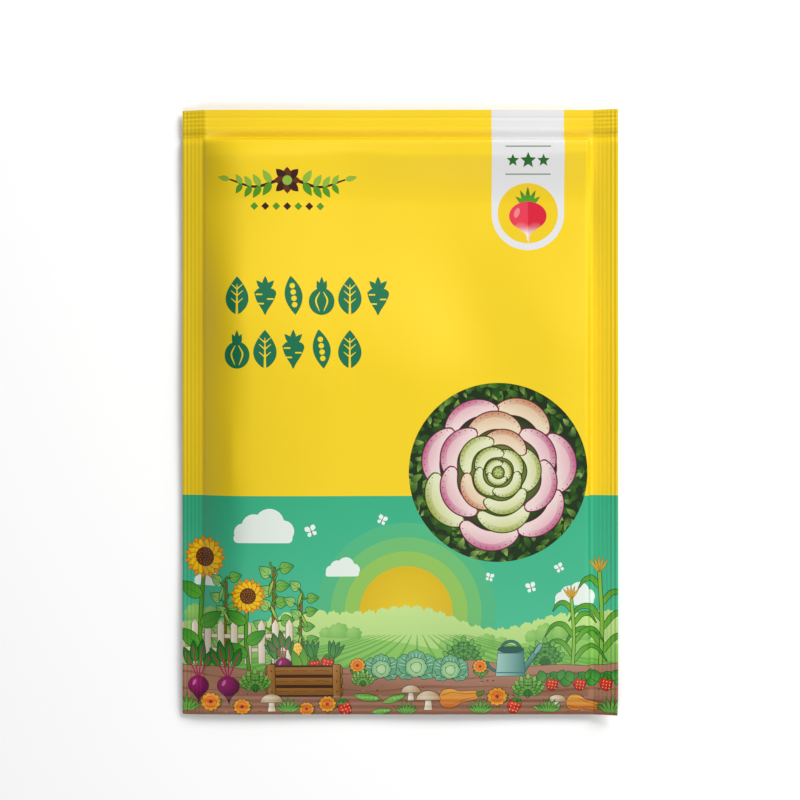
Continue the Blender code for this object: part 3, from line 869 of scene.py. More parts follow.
def paintGarden(art, chance):
    paintFields(art)
    for x, top, size in ((-39.6, -38.4, 0.85), (-28.6, -35.0, 0.95), (-22.4, -41.0, 0.8)):
        paintBeanPole(art, x, -58, top, size)
    paintFence(art)
    paintSunflower(art, (-46.0, -60), (-44.6, -33.0), 5.0)
    paintSunflower(art, (-34.2, -60), (-34.4, -41.6), 4.1, 0.85)
    paintCornPlant(art, 46.0, -59, -36.5)
    paintCornPlant(art, 39.4, -60, -42.5, 0.85)
    for x, size in ((14.6, 0.95), (33.2, 0.9)):
        paintHerb(art, x, -58.2, size, "#74BC5E", "#37853F", 7, 6.4)
    paintSoil(art, chance)
    for turn, x in ((104, -27.2), (84, -24.4), (96, -19.5), (76, -16.2)):
        paintLeek(art, x, -59.5, 0.72, turn)
    paintCorn(art, -22.4, -58.6, 0.95, 98)
    paintBeet(art, -26.4, -57.4, 0.72, 12)
    paintStrawberry(art, -16.4, -57.2, 0.9, -12)
    paintStrawberry(art, -19.2, -57.5, 0.8, 10)
    paintCrate(art, -21.8, -61.4, 17.5, 7.6)
    for x, y, size in ((-4.2, -58.6, 0.82), (3.8, -58.2, 0.92), (11.6, -58.9, 0.82)):
        paintCabbage(art, x, y, size)
    for x, y, size in ((-9.6, -57.6, 0.9), (18.4, -58.0, 0.85)):
        paintMarigold(art, x, y, size)
    paintWateringCan(art, 25.4, -56.9, 0.88)
    for x in (34.6, 41.0, 47.0):
        paintTrefoil(art, x - 1.6, -61.6, 0.95, 110)
        paintTrefoil(art, x + 1.9, -61.2, 0.9, 66)
        paintStrawberry(art, x + 0.4, -62.2, 0.86, -8)
    for x, size, lean in ((-46.2, 0.95, 0), (-39.2, 1.0, 4)):
        paintBeet(art, x, -62.6, size, lean)
    paintHerb(art, -33.0, -64.0, 0.85)
    paintHerb(art, 29.4, -65.4, 0.85)
    paintHerb(art, -8.4, -62.6, 0.6, "#A6D873", "#5FAE4E")
    for x, y, size, turn in ((-10.6, -64.8, 1.05, -12), (-4.0, -66.6, 0.95, 16),
                             (30.6, -67.6, 0.8, -14), (-6.6, -69.0, 0.8, 4)):
        paintPeaPod(art, x, y, size, turn)
    paintSquash(art, 13.0, -65.4, 1.2, 8)
    paintSquash(art, 41.6, -66.8, 1.0, -10)
    for x, y, size in ((2.6, -64.2, 1.0), (6.6, -66.0, 1.25), (-29.4, -66.6, 1.15), (36.2, -66.4, 0.95)):
        paintMushroom(art, x, y, size)
    for x, y, size in ((-43.4, -66.4, 1.2), (-36.2, -67.6, 1.05), (22.4, -65.2, 1.2),
                       (-16.6, -67.0, 1.05), (-21.4, -68.2, 0.9)):
        paintMarigold(art, x, y, size, 2.0)
    paintStrawberry(art, -12.4, -68.0, 0.95, 24)
    paintStrawberry(art, 26.4, -67.6, 0.95, -20)
    for x, y, size in ((-49.0, -68.6, 1.3), (-25.6, -69.0, 1.15), (1.6, -69.4, 1.0), (18.6, -69.2, 1.15),
                       (34.4, -69.0, 1.1), (48.8, -69.0, 1.35)):
        paintGrass(art, x, y, size)


def frontArt():
    art, chance = [], np.random.default_rng(11)
    paintGround(art)
    paintGarden(art, chance)
    paintPicture(art, chance)
    paintTag(art)
    paintCrest(art)
    paintTitle(art)
    return art


# The back's print, laid out as seen from behind and then mirrored: a blank ruled panel, a sowing
# calendar of twelve boxes without letters, four plain pictures of sun, water, depth and spacing, and the
# dark mark by which a cutting machine finds each packet's end
def backArt():
    art, paper, green = [], "#F4F4EE", "#287A58"
    paintGround(art)
    paint(art, plate(0, 22, 78, 66, 3), paper)
    for i in range(9):
        across, along, ink = (66, 0.9, "#BFCDBB") if i % 3 else (48, 1.5, green)
        paint(art, plate((across - 66) / 2, 47 - 4.6 * i, across, along, 0.4), ink)
    for i in range(12):
        x, y = -32.5 + 13.0 * (i % 6), (-0.5 if i < 6 else -5.8)
        paint(art, plate(x, y, 12.2, 4.4, 0.5), "#DCE8D2")
        if i in (1, 2, 3, 4):
            paint(art, plate(x, y + 1.0, 12.2, 1.6, 0.3), "#5C9A37")
        if i in (5, 6, 7, 8):
            paint(art, plate(x, y - 1.0, 12.2, 1.6, 0.3), "#E39A2B")
    paint(art, hill(*farHill), "#CDEB96", "#B5DF86", ((0, -44), (0, -56)))
    paint(art, hill(*soilHill), "#B07F66", "#8F6049", ((0, -57), (0, -69)))
    for i, x in enumerate((-31.5, -10.5, 10.5, 31.5)):
        paint(art, ellipse(x, -31.5, 7.2, 7.2, 0, 48), paper)
        if i == 0:
            paint(art, star(x, -31.5, 5.2, 12, 0.66), "#F0B32A")
            paint(art, ellipse(x, -31.5, 2.7, 2.7, 0, 30), "#F8D24A")
        if i == 1:
            paint(art, leaf(x, -36.2, 9.6, 6.4, 90, fullness=0.62, points=18), "#3C9BB5")
        if i == 2:
            paint(art, plate(x, -34.2, 10.4, 3.4, 0.3), "#8F6049")
            paint(art, ellipse(x, -34.4, 0.9, 0.7, 0, 16), "#F2E4C8")
            paintSeedling(art, x, -33.8, 5.0, 3.6)
        if i == 3:
            for side in (-1, 1):
                paintSeedling(art, x + side * 2.9, -33.4, 4.2, 2.7)
                paint(art, plate(x + side * 2.9, -35.2, 0.4, 1.5), green)
            paint(art, plate(x, -35.2, 5.8, 0.4), green)
    paint(art, plate(-width / 2 + 4, height / 2 - 12, 4.4, 8.0), "#222222")
    for shape in art:
        shape["outline"] = (shape["outline"] * (-1, 1))[::-1]
        if shape["run"] is not None:
            (x, y), far = shape["run"]
            shape["run"] = ((-x, y), far if np.ndim(far) == 0 else (-far[0], far[1]))
    return art


# From prints to meshes

# how fine the films' triangles are
sheet = {
    "frontStep": 1.15, "backStep": 1.6,  # between even lines of the lattice, across the packet
    "rowStretch": 1.15, "liningStretch": 2,  # they are wider apart along it, and on the unprinted side
    "ribLines": 4, "bottomRibLines": 6,  # lines to each rib in a seal
    "firstMerge": 1e-4, "borderMerge": 0.014, "liningMerge": 1e-5,  # nearer corners become one
}

laminate = {
    "sheen": 0.028, "strength": 0.88,  # what the clear film's reflection adds to the inks, and their share
    "roughness": 0.46, "roughnessSwing": 0.04, "reflection": 0.3,
    "gloss": 0.03, "glossRoughness": 0.25,  # the clear outer skin over the ink
    "unevenness": 0.035,  # how much the ink's density drifts over the sheet
    "driftSize": 38.0,  # how far apart that drift's patches are
    "grainSize": 0.30,  # of the printing screen, drawn about twice as coarse as real so that it shows
    "grain": 0.015,
    "puckerSize": 5.0, "puckerDepth": 0.035,  # faint slack in the film between its creases
    "peelSize": 0.9, "peelDepth": 0.003,  # the fine unevenness of extruded film
}


# which points lie in a closed outline: those it winds round at least once
def within(points, outline):
    low, high = outline.min(0), outline.max(0)
    near = np.flatnonzero(((points >= low) & (points <= high)).all(1))
    found = np.zeros(len(points), bool)
    a, b = outline, np.roll(outline, -1, axis=0)
    for part in np.array_split(near, 1 + len(near) * len(outline) // 4_000_000):
        x, y = points[part, 0, None], points[part, 1, None]
        turn = (b[:, 0] - a[:, 0]) * (y - a[:, 1]) - (x - a[:, 0]) * (b[:, 1] - a[:, 1])
        rising = (a[:, 1] <= y) & (b[:, 1] > y) & (turn > 0)
        falling = (a[:, 1] > y) & (b[:, 1] <= y) & (turn < 0)
        found[part] = rising.sum(1) != falling.sum(1)
    return found


# an outline with its long edges divided, so that they follow the film's swell
def divided(outline, step):
    way = np.roll(outline, -1, axis=0) - outline
    pieces = np.maximum(np.ceil(np.linalg.norm(way, axis=1) / step), 1).astype(int)
    number = np.arange(pieces.sum()) - np.repeat(np.cumsum(pieces) - pieces, pieces)
    share = (number / np.repeat(pieces, pieces))[:, None]
    return np.repeat(outline, pieces, axis=0) + share * np.repeat(way, pieces, axis=0)


# where more lines of the lattice lie beyond a seal: over the pocket's crease, the tight right one, the welt
creaseLines = np.array([0.12, 0.45, 1.0, 1.7, 2.5])
rightLines = np.array([0.12, 0.5, 0.7, 0.85, 1.05, 1.3, 1.55, 1.85, 2.5])
weltLines = np.array([0.12, 0.45, 0.8, 1.2, 1.8, 2.5, 3.0, 3.4, 3.8, 4.2, 4.7, 5.4, 6.3, 7.4])


# lines of the lattice across one direction: a few to each rib in a seal, crowded beyond it, then even
def latticeLines(size, seals, sealLines, crowds, step):
    low, high = (np.concatenate([np.linspace(0, seal, count + 1), seal + crowd]) - size / 2
                 for seal, count, crowd in zip(seals, sealLines, crowds))
    high = -high
    inner = np.linspace(low[-1], high[-1], 2 + int((high[-1] - low[-1]) / step))[1:-1]
    return np.concatenate([low, inner, high[::-1]])


# the mesh's lattice: its points, and its crowded lines as edges, so that no printed border spans a crease
def lattice(step):
    sideLines = pouch["sideRibs"] * sheet["ribLines"]
    endLines = (pouch["bottomRibs"] * sheet["bottomRibLines"], pouch["topRibs"] * sheet["ribLines"])
    columns = latticeLines(width, (pouch["sideSeal"],) * 2, (sideLines,) * 2, (creaseLines, rightLines), step)
    rows = latticeLines(height, (pouch["bottomSeal"], pouch["topSeal"]), endLines, (creaseLines, weltLines),
                        step * sheet["rowStretch"])
    across, along = len(columns), len(rows)
    index = np.arange(across * along).reshape(along, across)
    crease, tight, welt = len(creaseLines) + 1, len(rightLines) + 1, len(weltLines) + 1
    upright = np.r_[0:sideLines + crease, across - sideLines - tight:across]
    level = np.r_[0:endLines[0] + crease, along - endLines[1] - welt:along]
    edges = [np.stack([index[:-1, upright], index[1:, upright]], -1).reshape(-1, 2),
             np.stack([index[level, :-1], index[level, 1:]], -1).reshape(-1, 2)]
    return np.stack(np.meshgrid(columns, rows), -1).reshape(-1, 2), np.concatenate(edges)


# triangles between points and along edges, within the packet's outline and all the same way round. Points
# nearer than a merge distance become one.
def triangulated(points, edges, merge):
    flat, _, faces, *_ = delaunay_2d_cdt(points.tolist(), edges.tolist(), [], 0, merge, False)
    flat, faces = np.array(flat, float), np.array(faces, np.int64)
    for axis, half in ((0, width / 2), (1, height / 2)):
        edge = np.abs(np.abs(flat[:, axis]) - half) < 1e-3
        flat[edge, axis] = np.sign(flat[edge, axis]) * half
    middle = flat[faces].mean(1)
    faces = faces[(np.abs(middle[:, 0]) < width / 2) & (np.abs(middle[:, 1]) < height / 2)]
    used, faces = np.unique(faces, return_inverse=True)
    flat, faces = flat[used], faces.reshape(-1, 3)
    a, b, c = (flat[faces[:, i]] for i in range(3))
    turned = (b[:, 0] - a[:, 0]) * (c[:, 1] - a[:, 1]) < (c[:, 0] - a[:, 0]) * (b[:, 1] - a[:, 1])
    faces[turned] = faces[turned][:, ::-1]
    return flat, faces


# the topmost shape that covers each triangle. The triangles are sorted across, so that each shape is
# tried only on those beside it.
def topmost(art, flat, faces):
    middle = flat[faces].mean(1)
    order = np.argsort(middle[:, 0])
    middle, top = middle[order], np.zeros(len(faces), int)
    for number, shape in enumerate(art):
        reach = shape["outline"][:, 0]
        start, stop = np.searchsorted(middle[:, 0], (reach.min(), reach.max()))
        covered = start + np.flatnonzero(within(middle[start:stop], shape["outline"]))
        if shape["inside"] is not None:
            covered = covered[within(middle[covered], shape["inside"])]
        top[order[covered]] = number
    return top


# each edge of the triangles as its two ends, with its place in the triangles' sides sorted by edge, and
# whether the next side is the same edge seen from the triangle beyond it
def sortedSides(flat, faces):
    ends = np.concatenate([faces[:, [0, 1]], faces[:, [1, 2]], faces[:, [2, 0]]])
    keys = ends.min(1) * len(flat) + ends.max(1)
    order = np.argsort(keys, kind="stable")
    return ends[order], order % len(faces), keys[order][:-1] == keys[order][1:]


# cuts the packet's flat outline into triangles along every printed outline, finds which shape is on top in
# each, and cuts it again along only those borders that show
def cutSheet(art, step):
    grid, lines = lattice(step)
    points, edges, count = [grid], [lines], len(grid)
    for shape in art:
        outline = divided(shape["outline"], step)
        ring = count + np.arange(len(outline))
        points.append(outline)
        edges.append(np.stack([ring, np.roll(ring, -1)], 1))
        count += len(ring)
    flat, faces = triangulated(np.concatenate(points), np.concatenate(edges), sheet["firstMerge"])
    top = topmost(art, flat, faces)
    ends, owner, twin = sortedSides(flat, faces)
    borders = ends[:-1][twin & (top[owner[:-1]] != top[owner[1:]])]
    seen, borders = np.unique(borders, return_inverse=True)
    borders = borders.reshape(-1, 2) + len(grid)
    flat, faces = triangulated(np.concatenate([grid, flat[seen]]), np.concatenate([lines, borders]),
                               sheet["borderMerge"])
    return flat, faces, topmost(art, flat, faces)


# the corners along a sheet's outer edge, anticlockwise
def rimOf(flat, faces):
    ends, _, twin = sortedSides(flat, faces)
    paired = np.r_[twin, False] | np.r_[False, twin]
    rim = np.unique(ends[~paired])
    return rim[np.argsort(np.arctan2(flat[rim, 1] / height, flat[rim, 0] / width))]


# the unprinted side's triangles: a lattice alone, with the printed side's corners along the outer edge
def plainSheet(printed, rim, step):
    grid = lattice(step)[0]
    grid = grid[(np.abs(grid[:, 0]) < width / 2 - 0.01) & (np.abs(grid[:, 1]) < height / 2 - 0.01)]
    ring = np.arange(len(rim))
    return triangulated(np.concatenate([printed[rim], grid]), np.stack([ring, np.roll(ring, -1)], 1),
                        sheet["liningMerge"])


# the ink at each corner of each triangle: its shape's colour, or its place in that shape's gradient. The
# colours are as seen through the film, so its sheen is taken off them and the rest made a little denser.
def inkOf(art, flat, faces, top):
    colours = np.ones((len(faces), 3, 4))
    for number in np.unique(top):
        mine, shape = top == number, art[number]
        share = fadeShare(flat[faces[mine]].reshape(-1, 2), shape["run"]).reshape(-1, 3, 1)
        first, second = (np.maximum(linear(ink) - laminate["sheen"], linear(ink) * 0.2) * laminate["strength"]
                         for ink in shape["inks"])
        colours[mine, :, :3] = first + (second - first) * share
    return colours


# the upward normal of a height field, from its slope over a short step
def normals(surface, flat):
    x, y, step = flat[:, 0], flat[:, 1], 0.03
    slope = np.stack([surface(x - step, y) - surface(x + step, y),
                      surface(x, y - step) - surface(x, y + step), np.full(len(x), 2 * step)], 1)
    return slope / np.linalg.norm(slope, axis=1)[:, None]


# a mesh from whole arrays: points in millimetres, and faces as their corners in a row with each one's count
def meshFrom(name, points, corners, sizes):
    mesh = bpy.data.meshes.new(name)
    mesh.vertices.add(len(points))
    mesh.vertices.foreach_set("co", (np.asarray(points) * mm).ravel().astype(np.float32))
    mesh.loops.add(len(corners))
    mesh.loops.foreach_set("vertex_index", np.asarray(corners, np.int32))
    mesh.polygons.add(len(sizes))
    mesh.polygons.foreach_set("loop_start", (np.cumsum(sizes) - sizes).astype(np.int32))
    mesh.update(calc_edges=True)
    return mesh


def newPiece(name, mesh, materials):
    for material in materials:
        mesh.materials.append(material)
    piece = bpy.data.objects.new(name, mesh)
    bpy.context.scene.collection.objects.link(piece)
    return piece


# one film as a closed sheet: the flat sheets raised to an upper and a lower surface, and a rim between them
def filmPiece(name, art, upper, lower, printedUp, step, materials):
    printed, printedFaces, top = cutSheet(art, step)
    printedRim = rimOf(printed, printedFaces)
    plain, plainFaces = plainSheet(printed, printedRim, sheet["liningStretch"] * step)
    plainRim = rimOf(plain, plainFaces)
    sheets = [(printed, printedFaces, printedRim), (plain, plainFaces, plainRim)]
    (high, highFaces, highRim), (low, lowFaces, lowRim) = sheets if printedUp else sheets[::-1]
    above = np.column_stack([high, upper(high[:, 0], high[:, 1])])
    below = np.column_stack([low, lower(low[:, 0], low[:, 1])])
    lowRim = lowRim + len(high)
    quads = np.stack([np.roll(highRim, -1), highRim, lowRim, np.roll(lowRim, -1)], 1)
    corners = np.concatenate([highFaces.ravel(), (lowFaces[:, ::-1] + len(high)).ravel(), quads.ravel()])
    counts = len(highFaces), len(lowFaces), len(quads)
    mesh = meshFrom(name, np.concatenate([above, below]), corners, np.repeat([3, 3, 4], counts))
    layers = [0, 1, 2] if printedUp else [1, 0, 2]
    mesh.polygons.foreach_set("material_index", np.repeat(layers, counts).astype(np.int32))
    inks = inkOf(art, printed, printedFaces, top)
    blank = np.ones((len(plainFaces), 3, 4))
    sides = (inks, blank) if printedUp else (blank, inks[:, ::-1])
    values = np.concatenate([sides[0].reshape(-1, 4), sides[1].reshape(-1, 4), np.ones((4 * len(quads), 4))])
    colour = mesh.color_attributes.new("ink", "FLOAT_COLOR", "CORNER")
    colour.data.foreach_set("color", values.ravel().astype(np.float32))
    outward = (high[highRim] + high[np.roll(highRim, -1)]) / 2
    across = np.abs(outward[:, 0]) / width > np.abs(outward[:, 1]) / height
    rimNormal = np.stack([np.sign(outward[:, 0]) * across, np.sign(outward[:, 1]) * ~across, 0 * across], 1)
    shading = np.concatenate([normals(upper, high)[highFaces.ravel()],
                              -normals(lower, low)[lowFaces[:, ::-1].ravel()],
                              np.repeat(rimNormal, 4, axis=0)])
    mesh.shade_smooth()
    mesh.normals_split_custom_set(shading.tolist())
    print(f"{name}: {len(art)} printed shapes, {sum(counts) + len(quads)} triangles")
    return newPiece(name, mesh, materials)


# The seeds

seedSet = {
    "length": 1.5, "breadth": 1.0, "flatness": 0.88, "ridges": 5, "ridgeDepth": 0.12,
    "sizes": (0.86, 1.04),  # the smallest and largest, as shares of that
    "counts": (170, 120, 70),  # seeds in each layer, from the lowest
    "lift": (0.0, 0.62, 1.2),  # how far each layer's middle stands over the lowest seeds
    "shrink": (1.0, 0.86, 0.62),  # each layer's reach, as a share of the heap's
    "clearance": 0.05,  # over the back film's inner face
    "dome": 0.55,  # how much of its lift a layer has lost at its edge
    "tilt": 0.18, "tiltFrom": 0.9,  # in radians, for seeds that lie higher than this
}


# one ridged seed along X: the radius is a power of a sine along it, and swings round it with its ridges
def seedForm():
    rings, around = 5, seedSet["ridges"] * 2
    t = np.linspace(0, 1, rings + 2)[1:-1, None]
    angle = np.arange(around)[None] * 2 * np.pi / around
    ridged = 1 - seedSet["ridgeDepth"] * (np.arange(around) % 2)
    radius = seedSet["breadth"] / 2 * np.sin(np.pi * t) ** 0.6 * ridged
    x = (t - 0.5) * seedSet["length"] + 0 * angle
    body = np.stack([x, radius * np.cos(angle), seedSet["flatness"] * radius * np.sin(angle)], -1)
    body = body.reshape(-1, 3)
    points = np.concatenate([body, [(-seedSet["length"] / 2, 0, 0), (seedSet["length"] / 2, 0, 0)]])
    ring, step = np.meshgrid(np.arange(rings - 1), np.arange(around), indexing="ij")
    a, b = ring * around + step, ring * around + (step + 1) % around
    quads = np.stack([a, b, b + around, a + around], -1).reshape(-1, 4)
    turn, far = np.arange(around), (rings - 1) * around
    tail = np.stack([(turn + 1) % around, turn, np.full(around, len(body))], 1)
    tip = np.stack([far + turn, far + (turn + 1) % around, np.full(around, len(body) + 1)], 1)
    return points, quads, np.concatenate([tail, tip])


# rotation matrices about one axis, each with the angle's cosine and sine in the other two axes' places
def spun(axis, angle):
    first, second = (axis + 1) % 3, (axis + 2) % 3
    matrix = np.zeros((3, 3, len(angle)))
    matrix[axis, axis] = 1
    matrix[first, first] = matrix[second, second] = np.cos(angle)
    matrix[first, second], matrix[second, first] = -np.sin(angle), np.sin(angle)
    return matrix


# rotation matrices from a roll about X, then a tilt about Y, then a turn about Z
def tumbled(roll, tilt, turn):
    return np.einsum("ijn,jkn,kln->nil", spun(2, turn), spun(1, tilt), spun(0, roll))


# the heap: layers of seeds in sunflower spirals, each layer a lower, narrower dome over the last
def seedPiece(name, husk):
    chance = np.random.default_rng(23)
    low, high = (np.array(corner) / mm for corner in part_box("seeds"))
    centre, reach = (low + high)[:2] / 2, (high - low)[:2] / 2 - seedSet["length"] / 2
    points, quads, caps = seedForm()
    places = []
    for count, lift, shrink in zip(seedSet["counts"], seedSet["lift"], seedSet["shrink"]):
        number = np.arange(count)
        out, turn = np.sqrt((number + 0.5) / count), number * goldenTurn + lift
        flat = centre + shrink * reach * np.stack([out * np.cos(turn), out * np.sin(turn)], 1)
        z = pouch["film"] + seedSet["clearance"] + seedSet["breadth"] / 2
        z = z + lift * (1 - seedSet["dome"] * out ** 2)
        places.append(np.column_stack([flat, z]))
    places = np.concatenate(places)
    total = len(places)
    roll = chance.uniform(0, 2 * np.pi, total)
    tilt = chance.uniform(-seedSet["tilt"], seedSet["tilt"], total) * (places[:, 2] > seedSet["tiltFrom"])
    spin = tumbled(roll, tilt, chance.uniform(0, 2 * np.pi, total))
    size = chance.uniform(*seedSet["sizes"], (total, 1, 1))
    cloud = np.einsum("nij,pj->npi", spin, points) * size + places[:, None]
    shift = (np.arange(total) * len(points))[:, None, None]
    corners = np.concatenate([(quads[None] + shift).ravel(), (caps[None] + shift).ravel()])
    sizes = np.concatenate([np.full(total * len(quads), 4), np.full(total * len(caps), 3)])
    mesh = meshFrom(name, cloud.reshape(-1, 3), corners, sizes)
    tone = mesh.attributes.new("tone", "FLOAT", "POINT")
    tone.data.foreach_set("value", np.repeat(chance.uniform(0, 1, total), len(points)).astype(np.float32))
    mesh.shade_smooth()
    print(f"{name}: {total} seeds, {len(sizes)} faces")
    return newPiece(name, mesh, [husk])


# Materials

# sizes and depths of the plainer finishes' patterns
finish = {
    "crinkleSize": 2.2, "crinkleDepth": 0.02,  # of the lining
    "nickSize": 1.2,  # along the films' cut edge
    "speckSize": 0.25, "speckDepth": 0.03,  # of a seed's husk
    "toothSize": 0.8, "toothDepth": 0.01,  # of the studio's paper
}


# adds a node with its settings, and with inputs that are fixed values or other nodes' sockets
def addNode(tree, kind, settings=None, inputs=None):
    node = tree.nodes.new(kind)
    for name, value in (settings or {}).items():
        setattr(node, name, value)
    for name, value in (inputs or {}).items():
        if isinstance(value, bpy.types.NodeSocket):
            tree.links.new(value, node.inputs[name])
        else:
            node.inputs[name].default_value = value
    return node


def newMaterial(name, colour, roughness, ior=1.5, metallic=0.0):
    material = bpy.data.materials.new(name)
    material.use_nodes = True
    tree = material.node_tree
    shader = tree.nodes["Principled BSDF"]
    shader.inputs["Base Color"].default_value = (*linear(colour), 1)
    shader.inputs["Roughness"].default_value = roughness
    shader.inputs["IOR"].default_value = ior
    shader.inputs["Metallic"].default_value = metallic
    return material, tree, shader


# Polypropylene film printed on its inner face and laminated: a clear, smooth skin over solid ink, so the
# colours are deep and even, and the sheen over them is soft and has no colour
def printedLaminate(name):
    material, tree, shader = newMaterial(name, yellowInk, laminate["roughness"])
    place = addNode(tree, "ShaderNodeTexCoord").outputs["Object"]
    ink = addNode(tree, "ShaderNodeAttribute", {"attribute_name": "ink"}).outputs["Color"]
    drift = addNode(tree, "ShaderNodeTexNoise", None,
                    {"Vector": place, "Scale": 1 / (laminate["driftSize"] * mm), "Detail": 2.0})
    grain = addNode(tree, "ShaderNodeTexNoise", None,
                    {"Vector": place, "Scale": 1 / (laminate["grainSize"] * mm), "Detail": 1.0})
    density = addNode(tree, "ShaderNodeMapRange", None,
                      {"Value": drift.outputs["Fac"], "From Min": 0.3, "From Max": 0.7,
                       "To Min": 1 - laminate["unevenness"], "To Max": 1.0})
    screen = addNode(tree, "ShaderNodeMapRange", None,
                     {"Value": grain.outputs["Fac"], "From Min": 0.3, "From Max": 0.7,
                      "To Min": 1 - laminate["grain"], "To Max": 1.0})
    both = addNode(tree, "ShaderNodeMath", {"operation": "MULTIPLY"},
                   {0: density.outputs["Result"], 1: screen.outputs["Result"]})
    tinted = addNode(tree, "ShaderNodeVectorMath", {"operation": "SCALE"}, {0: ink, "Scale": both.outputs[0]})
    tree.links.new(tinted.outputs["Vector"], shader.inputs["Base Color"])
    gloss = addNode(tree, "ShaderNodeMapRange", None,
                    {"Value": drift.outputs["Fac"], "From Min": 0.3, "From Max": 0.7,
                     "To Min": laminate["roughness"] - laminate["roughnessSwing"],
                     "To Max": laminate["roughness"] + laminate["roughnessSwing"]})
    tree.links.new(gloss.outputs["Result"], shader.inputs["Roughness"])
    pucker = addNode(tree, "ShaderNodeTexNoise", None,
                     {"Vector": place, "Scale": 1 / (laminate["puckerSize"] * mm), "Detail": 2.0})
    peel = addNode(tree, "ShaderNodeTexNoise", None,
                   {"Vector": place, "Scale": 1 / (laminate["peelSize"] * mm), "Detail": 1.0})
    slack = addNode(tree, "ShaderNodeBump", None,
                    {"Height": pucker.outputs["Fac"], "Strength": 1.0,
                     "Distance": laminate["puckerDepth"] * mm})
    skin = addNode(tree, "ShaderNodeBump", None,
                   {"Height": peel.outputs["Fac"], "Strength": 1.0, "Distance": laminate["peelDepth"] * mm,
                    "Normal": slack.outputs["Normal"]})
    tree.links.new(skin.outputs["Normal"], shader.inputs["Normal"])
    shader.inputs["Specular IOR Level"].default_value = laminate["reflection"]
    shader.inputs["Coat Weight"].default_value = laminate["gloss"]
    shader.inputs["Coat Roughness"].default_value = laminate["glossRoughness"]
    return material


# The pouch's inner side, vacuum-metallised film under a clear sealing layer: a soft grey mirror
def metallisedLining(name):
    material, tree, shader = newMaterial(name, "#C9CBCC", 0.32, metallic=0.9)
    place = addNode(tree, "ShaderNodeTexCoord").outputs["Object"]
    crinkle = addNode(tree, "ShaderNodeTexNoise", None,
                      {"Vector": place, "Scale": 1 / (finish["crinkleSize"] * mm), "Detail": 3.0})
    bump = addNode(tree, "ShaderNodeBump", None,
                   {"Height": crinkle.outputs["Fac"], "Strength": 0.6,
                    "Distance": finish["crinkleDepth"] * mm})
    tree.links.new(bump.outputs["Normal"], shader.inputs["Normal"])
    return material


# The laminate's cut edge, where the milky polyethylene core shows between the ink and the lining
def cutFilmEdge(name):
    material, tree, shader = newMaterial(name, "#EDE3B8", 0.55)
    place = addNode(tree, "ShaderNodeTexCoord").outputs["Object"]
    nicks = addNode(tree, "ShaderNodeTexNoise", None,
                    {"Vector": place, "Scale": 1 / (finish["nickSize"] * mm), "Detail": 2.0})
    shade = addNode(tree, "ShaderNodeValToRGB", None, {"Fac": nicks.outputs["Fac"]})
    shade.color_ramp.elements[0].color = (*linear("#D9C98A"), 1)
    shade.color_ramp.elements[1].color = (*linear("#F4EED2"), 1)
    tree.links.new(shade.outputs["Color"], shader.inputs["Base Color"])
    return material


# Dry celery seed: a dull ribbed husk, grey-brown in its hollows and paler on the ribs
def celeryHusk(name):
    material, tree, shader = newMaterial(name, "#7A5E3C", 0.82)
    place = addNode(tree, "ShaderNodeTexCoord").outputs["Object"]
    tone = addNode(tree, "ShaderNodeAttribute", {"attribute_name": "tone"}).outputs["Fac"]
    speck = addNode(tree, "ShaderNodeTexNoise", None,
                    {"Vector": place, "Scale": 1 / (finish["speckSize"] * mm), "Detail": 3.0})
    blend = addNode(tree, "ShaderNodeMath", {"operation": "ADD"}, {0: tone, 1: speck.outputs["Fac"]})
    ramp = addNode(tree, "ShaderNodeValToRGB", None, {"Fac": blend.outputs[0]})
    for end, position, colour in zip(ramp.color_ramp.elements, (0.3, 1.0), ("#4E3A24", "#A58A5C")):
        end.position, end.color = position, (*linear(colour), 1)
    tree.links.new(ramp.outputs["Color"], shader.inputs["Base Color"])
    bump = addNode(tree, "ShaderNodeBump", None,
                   {"Height": speck.outputs["Fac"], "Strength": 0.7, "Distance": finish["speckDepth"] * mm})
    tree.links.new(bump.outputs["Normal"], shader.inputs["Normal"])
    return material


# White seamless studio paper: even and quite matt
def sweepPaper(name):
    material, tree, shader = newMaterial(name, "#FCFCFC", 0.9)
    place = addNode(tree, "ShaderNodeTexCoord").outputs["Object"]
    tooth = addNode(tree, "ShaderNodeTexNoise", None,
                    {"Vector": place, "Scale": 1 / (finish["toothSize"] * mm), "Detail": 2.0})
    bump = addNode(tree, "ShaderNodeBump", None,
                   {"Height": tooth.outputs["Fac"], "Strength": 0.2, "Distance": finish["toothDepth"] * mm})
    tree.links.new(bump.outputs["Normal"], shader.inputs["Normal"])
    return material


# Build the pieces

edgeMaterial, liningMaterial = cutFilmEdge("cutFilmEdge"), metallisedLining("metallisedLining")
print("materials made")

frontFilm = filmPiece("frontFilm", frontArt(), frontOutside, frontInside, True, sheet["frontStep"],
                      [printedLaminate("printedLaminateFront"), liningMaterial, edgeMaterial])
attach(frontFilm, "root")
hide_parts("front_film")

backFilm = filmPiece("backFilm", backArt(), backInside, backOutside, False, sheet["backStep"],
                     [printedLaminate("printedLaminateBack"), liningMaterial, edgeMaterial])
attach(backFilm, "root")
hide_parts("back_film")

seedHeap = seedPiece("seedHeap", celeryHusk("celeryHusk"))
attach(seedHeap, "root")
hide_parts("seeds")


# Studio: floor, lights and camera

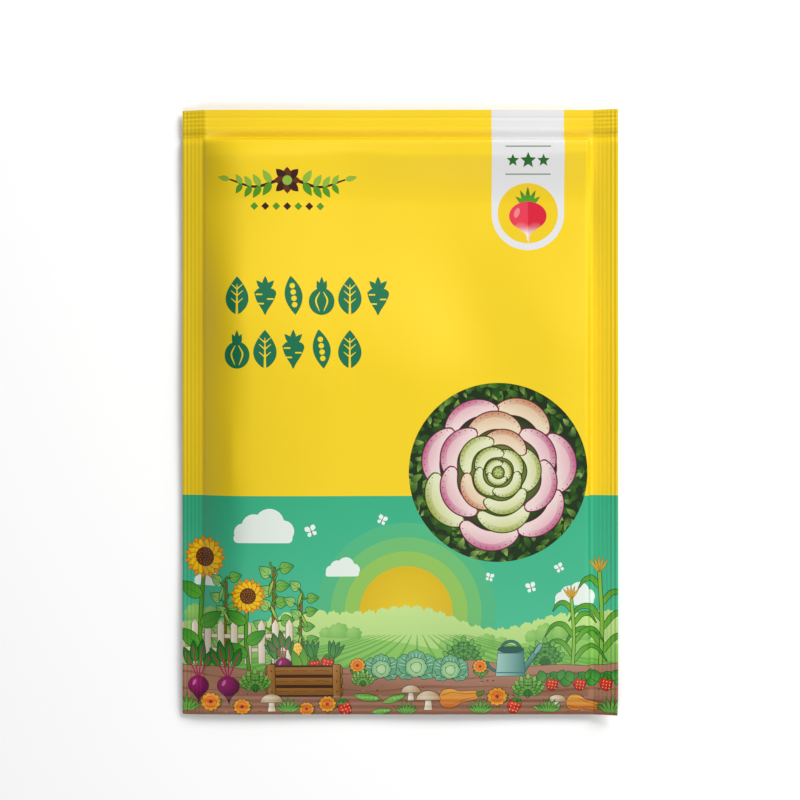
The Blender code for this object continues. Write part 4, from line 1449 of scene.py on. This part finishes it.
studio = {
    "viewWidth": 183.7,  # what the photograph's frame spans at the packet, from its 100 mm outline
    "centreShift": 0.1, "centreLift": 2.9,  # the frame's middle, to the right of and above the packet's
    "lens": 100.0,  # long enough that the outline looks square on
    # softboxes: direction round from +X, elevation, distance, size and power in watts
    "lights": (("keyLight", 52, 37, 800, 420, 6.95), ("leftFill", 138, 58, 800, 420, 0.75),
               ("lowFill", 272, 58, 800, 420, 2.4), ("rightFill", 345, 34, 800, 420, 0.7)),
    "ambient": 0.04,
    "floorReach": 2000.0, "floorDrop": 0.02,  # how far the paper goes on, and how far it is below the packet
}


def addFloor():
    reach, level = studio["floorReach"], -studio["floorDrop"]
    points = np.array([(x * reach, y * reach, level) for x, y in ((-1, -1), (1, -1), (1, 1), (-1, 1))])
    mesh = meshFrom("floor", points, [0, 1, 2, 3], np.array([4]))
    floor = newPiece("floor", mesh, [sweepPaper("sweepPaper")])


# a square softbox that faces the packet's middle, placed by its direction, elevation and distance
def addLight(name, direction, elevation, distance, size, power):
    light = bpy.data.lights.new(name, "AREA")
    light.shape, light.size, light.energy = "SQUARE", size * mm, power
    made = bpy.data.objects.new(name, light)
    turn, lift = math.radians(direction), math.radians(elevation)
    made.location = [distance * mm * value for value in
                     (math.cos(turn) * math.cos(lift), math.sin(turn) * math.cos(lift), math.sin(lift))]
    made.rotation_euler = (-made.location).to_track_quat("-Z", "Y").to_euler()
    bpy.context.scene.collection.objects.link(made)


def addCamera():
    camera = bpy.data.cameras.new("camera")
    camera.lens, camera.sensor_width, camera.clip_start = studio["lens"], 36.0, 0.01
    distance = studio["viewWidth"] * studio["lens"] / camera.sensor_width
    made = bpy.data.objects.new("camera", camera)
    place = (studio["centreShift"], studio["centreLift"], distance + pouch["sealHeight"])
    made.location = [value * mm for value in place]
    bpy.context.scene.collection.objects.link(made)
    bpy.context.scene.camera = made


def setWorld():
    world = bpy.data.worlds.new("studioAir")
    world.use_nodes = True
    background = world.node_tree.nodes["Background"]
    background.inputs["Color"].default_value = (1, 1, 1, 1)
    background.inputs["Strength"].default_value = studio["ambient"]
    bpy.context.scene.world = world
    bpy.context.scene.view_settings.view_transform = "Standard"
    bpy.context.scene.view_settings.look = "None"


addFloor()
for light in studio["lights"]:
    addLight(*light)
addCamera()
setWorld()
print("studio set")
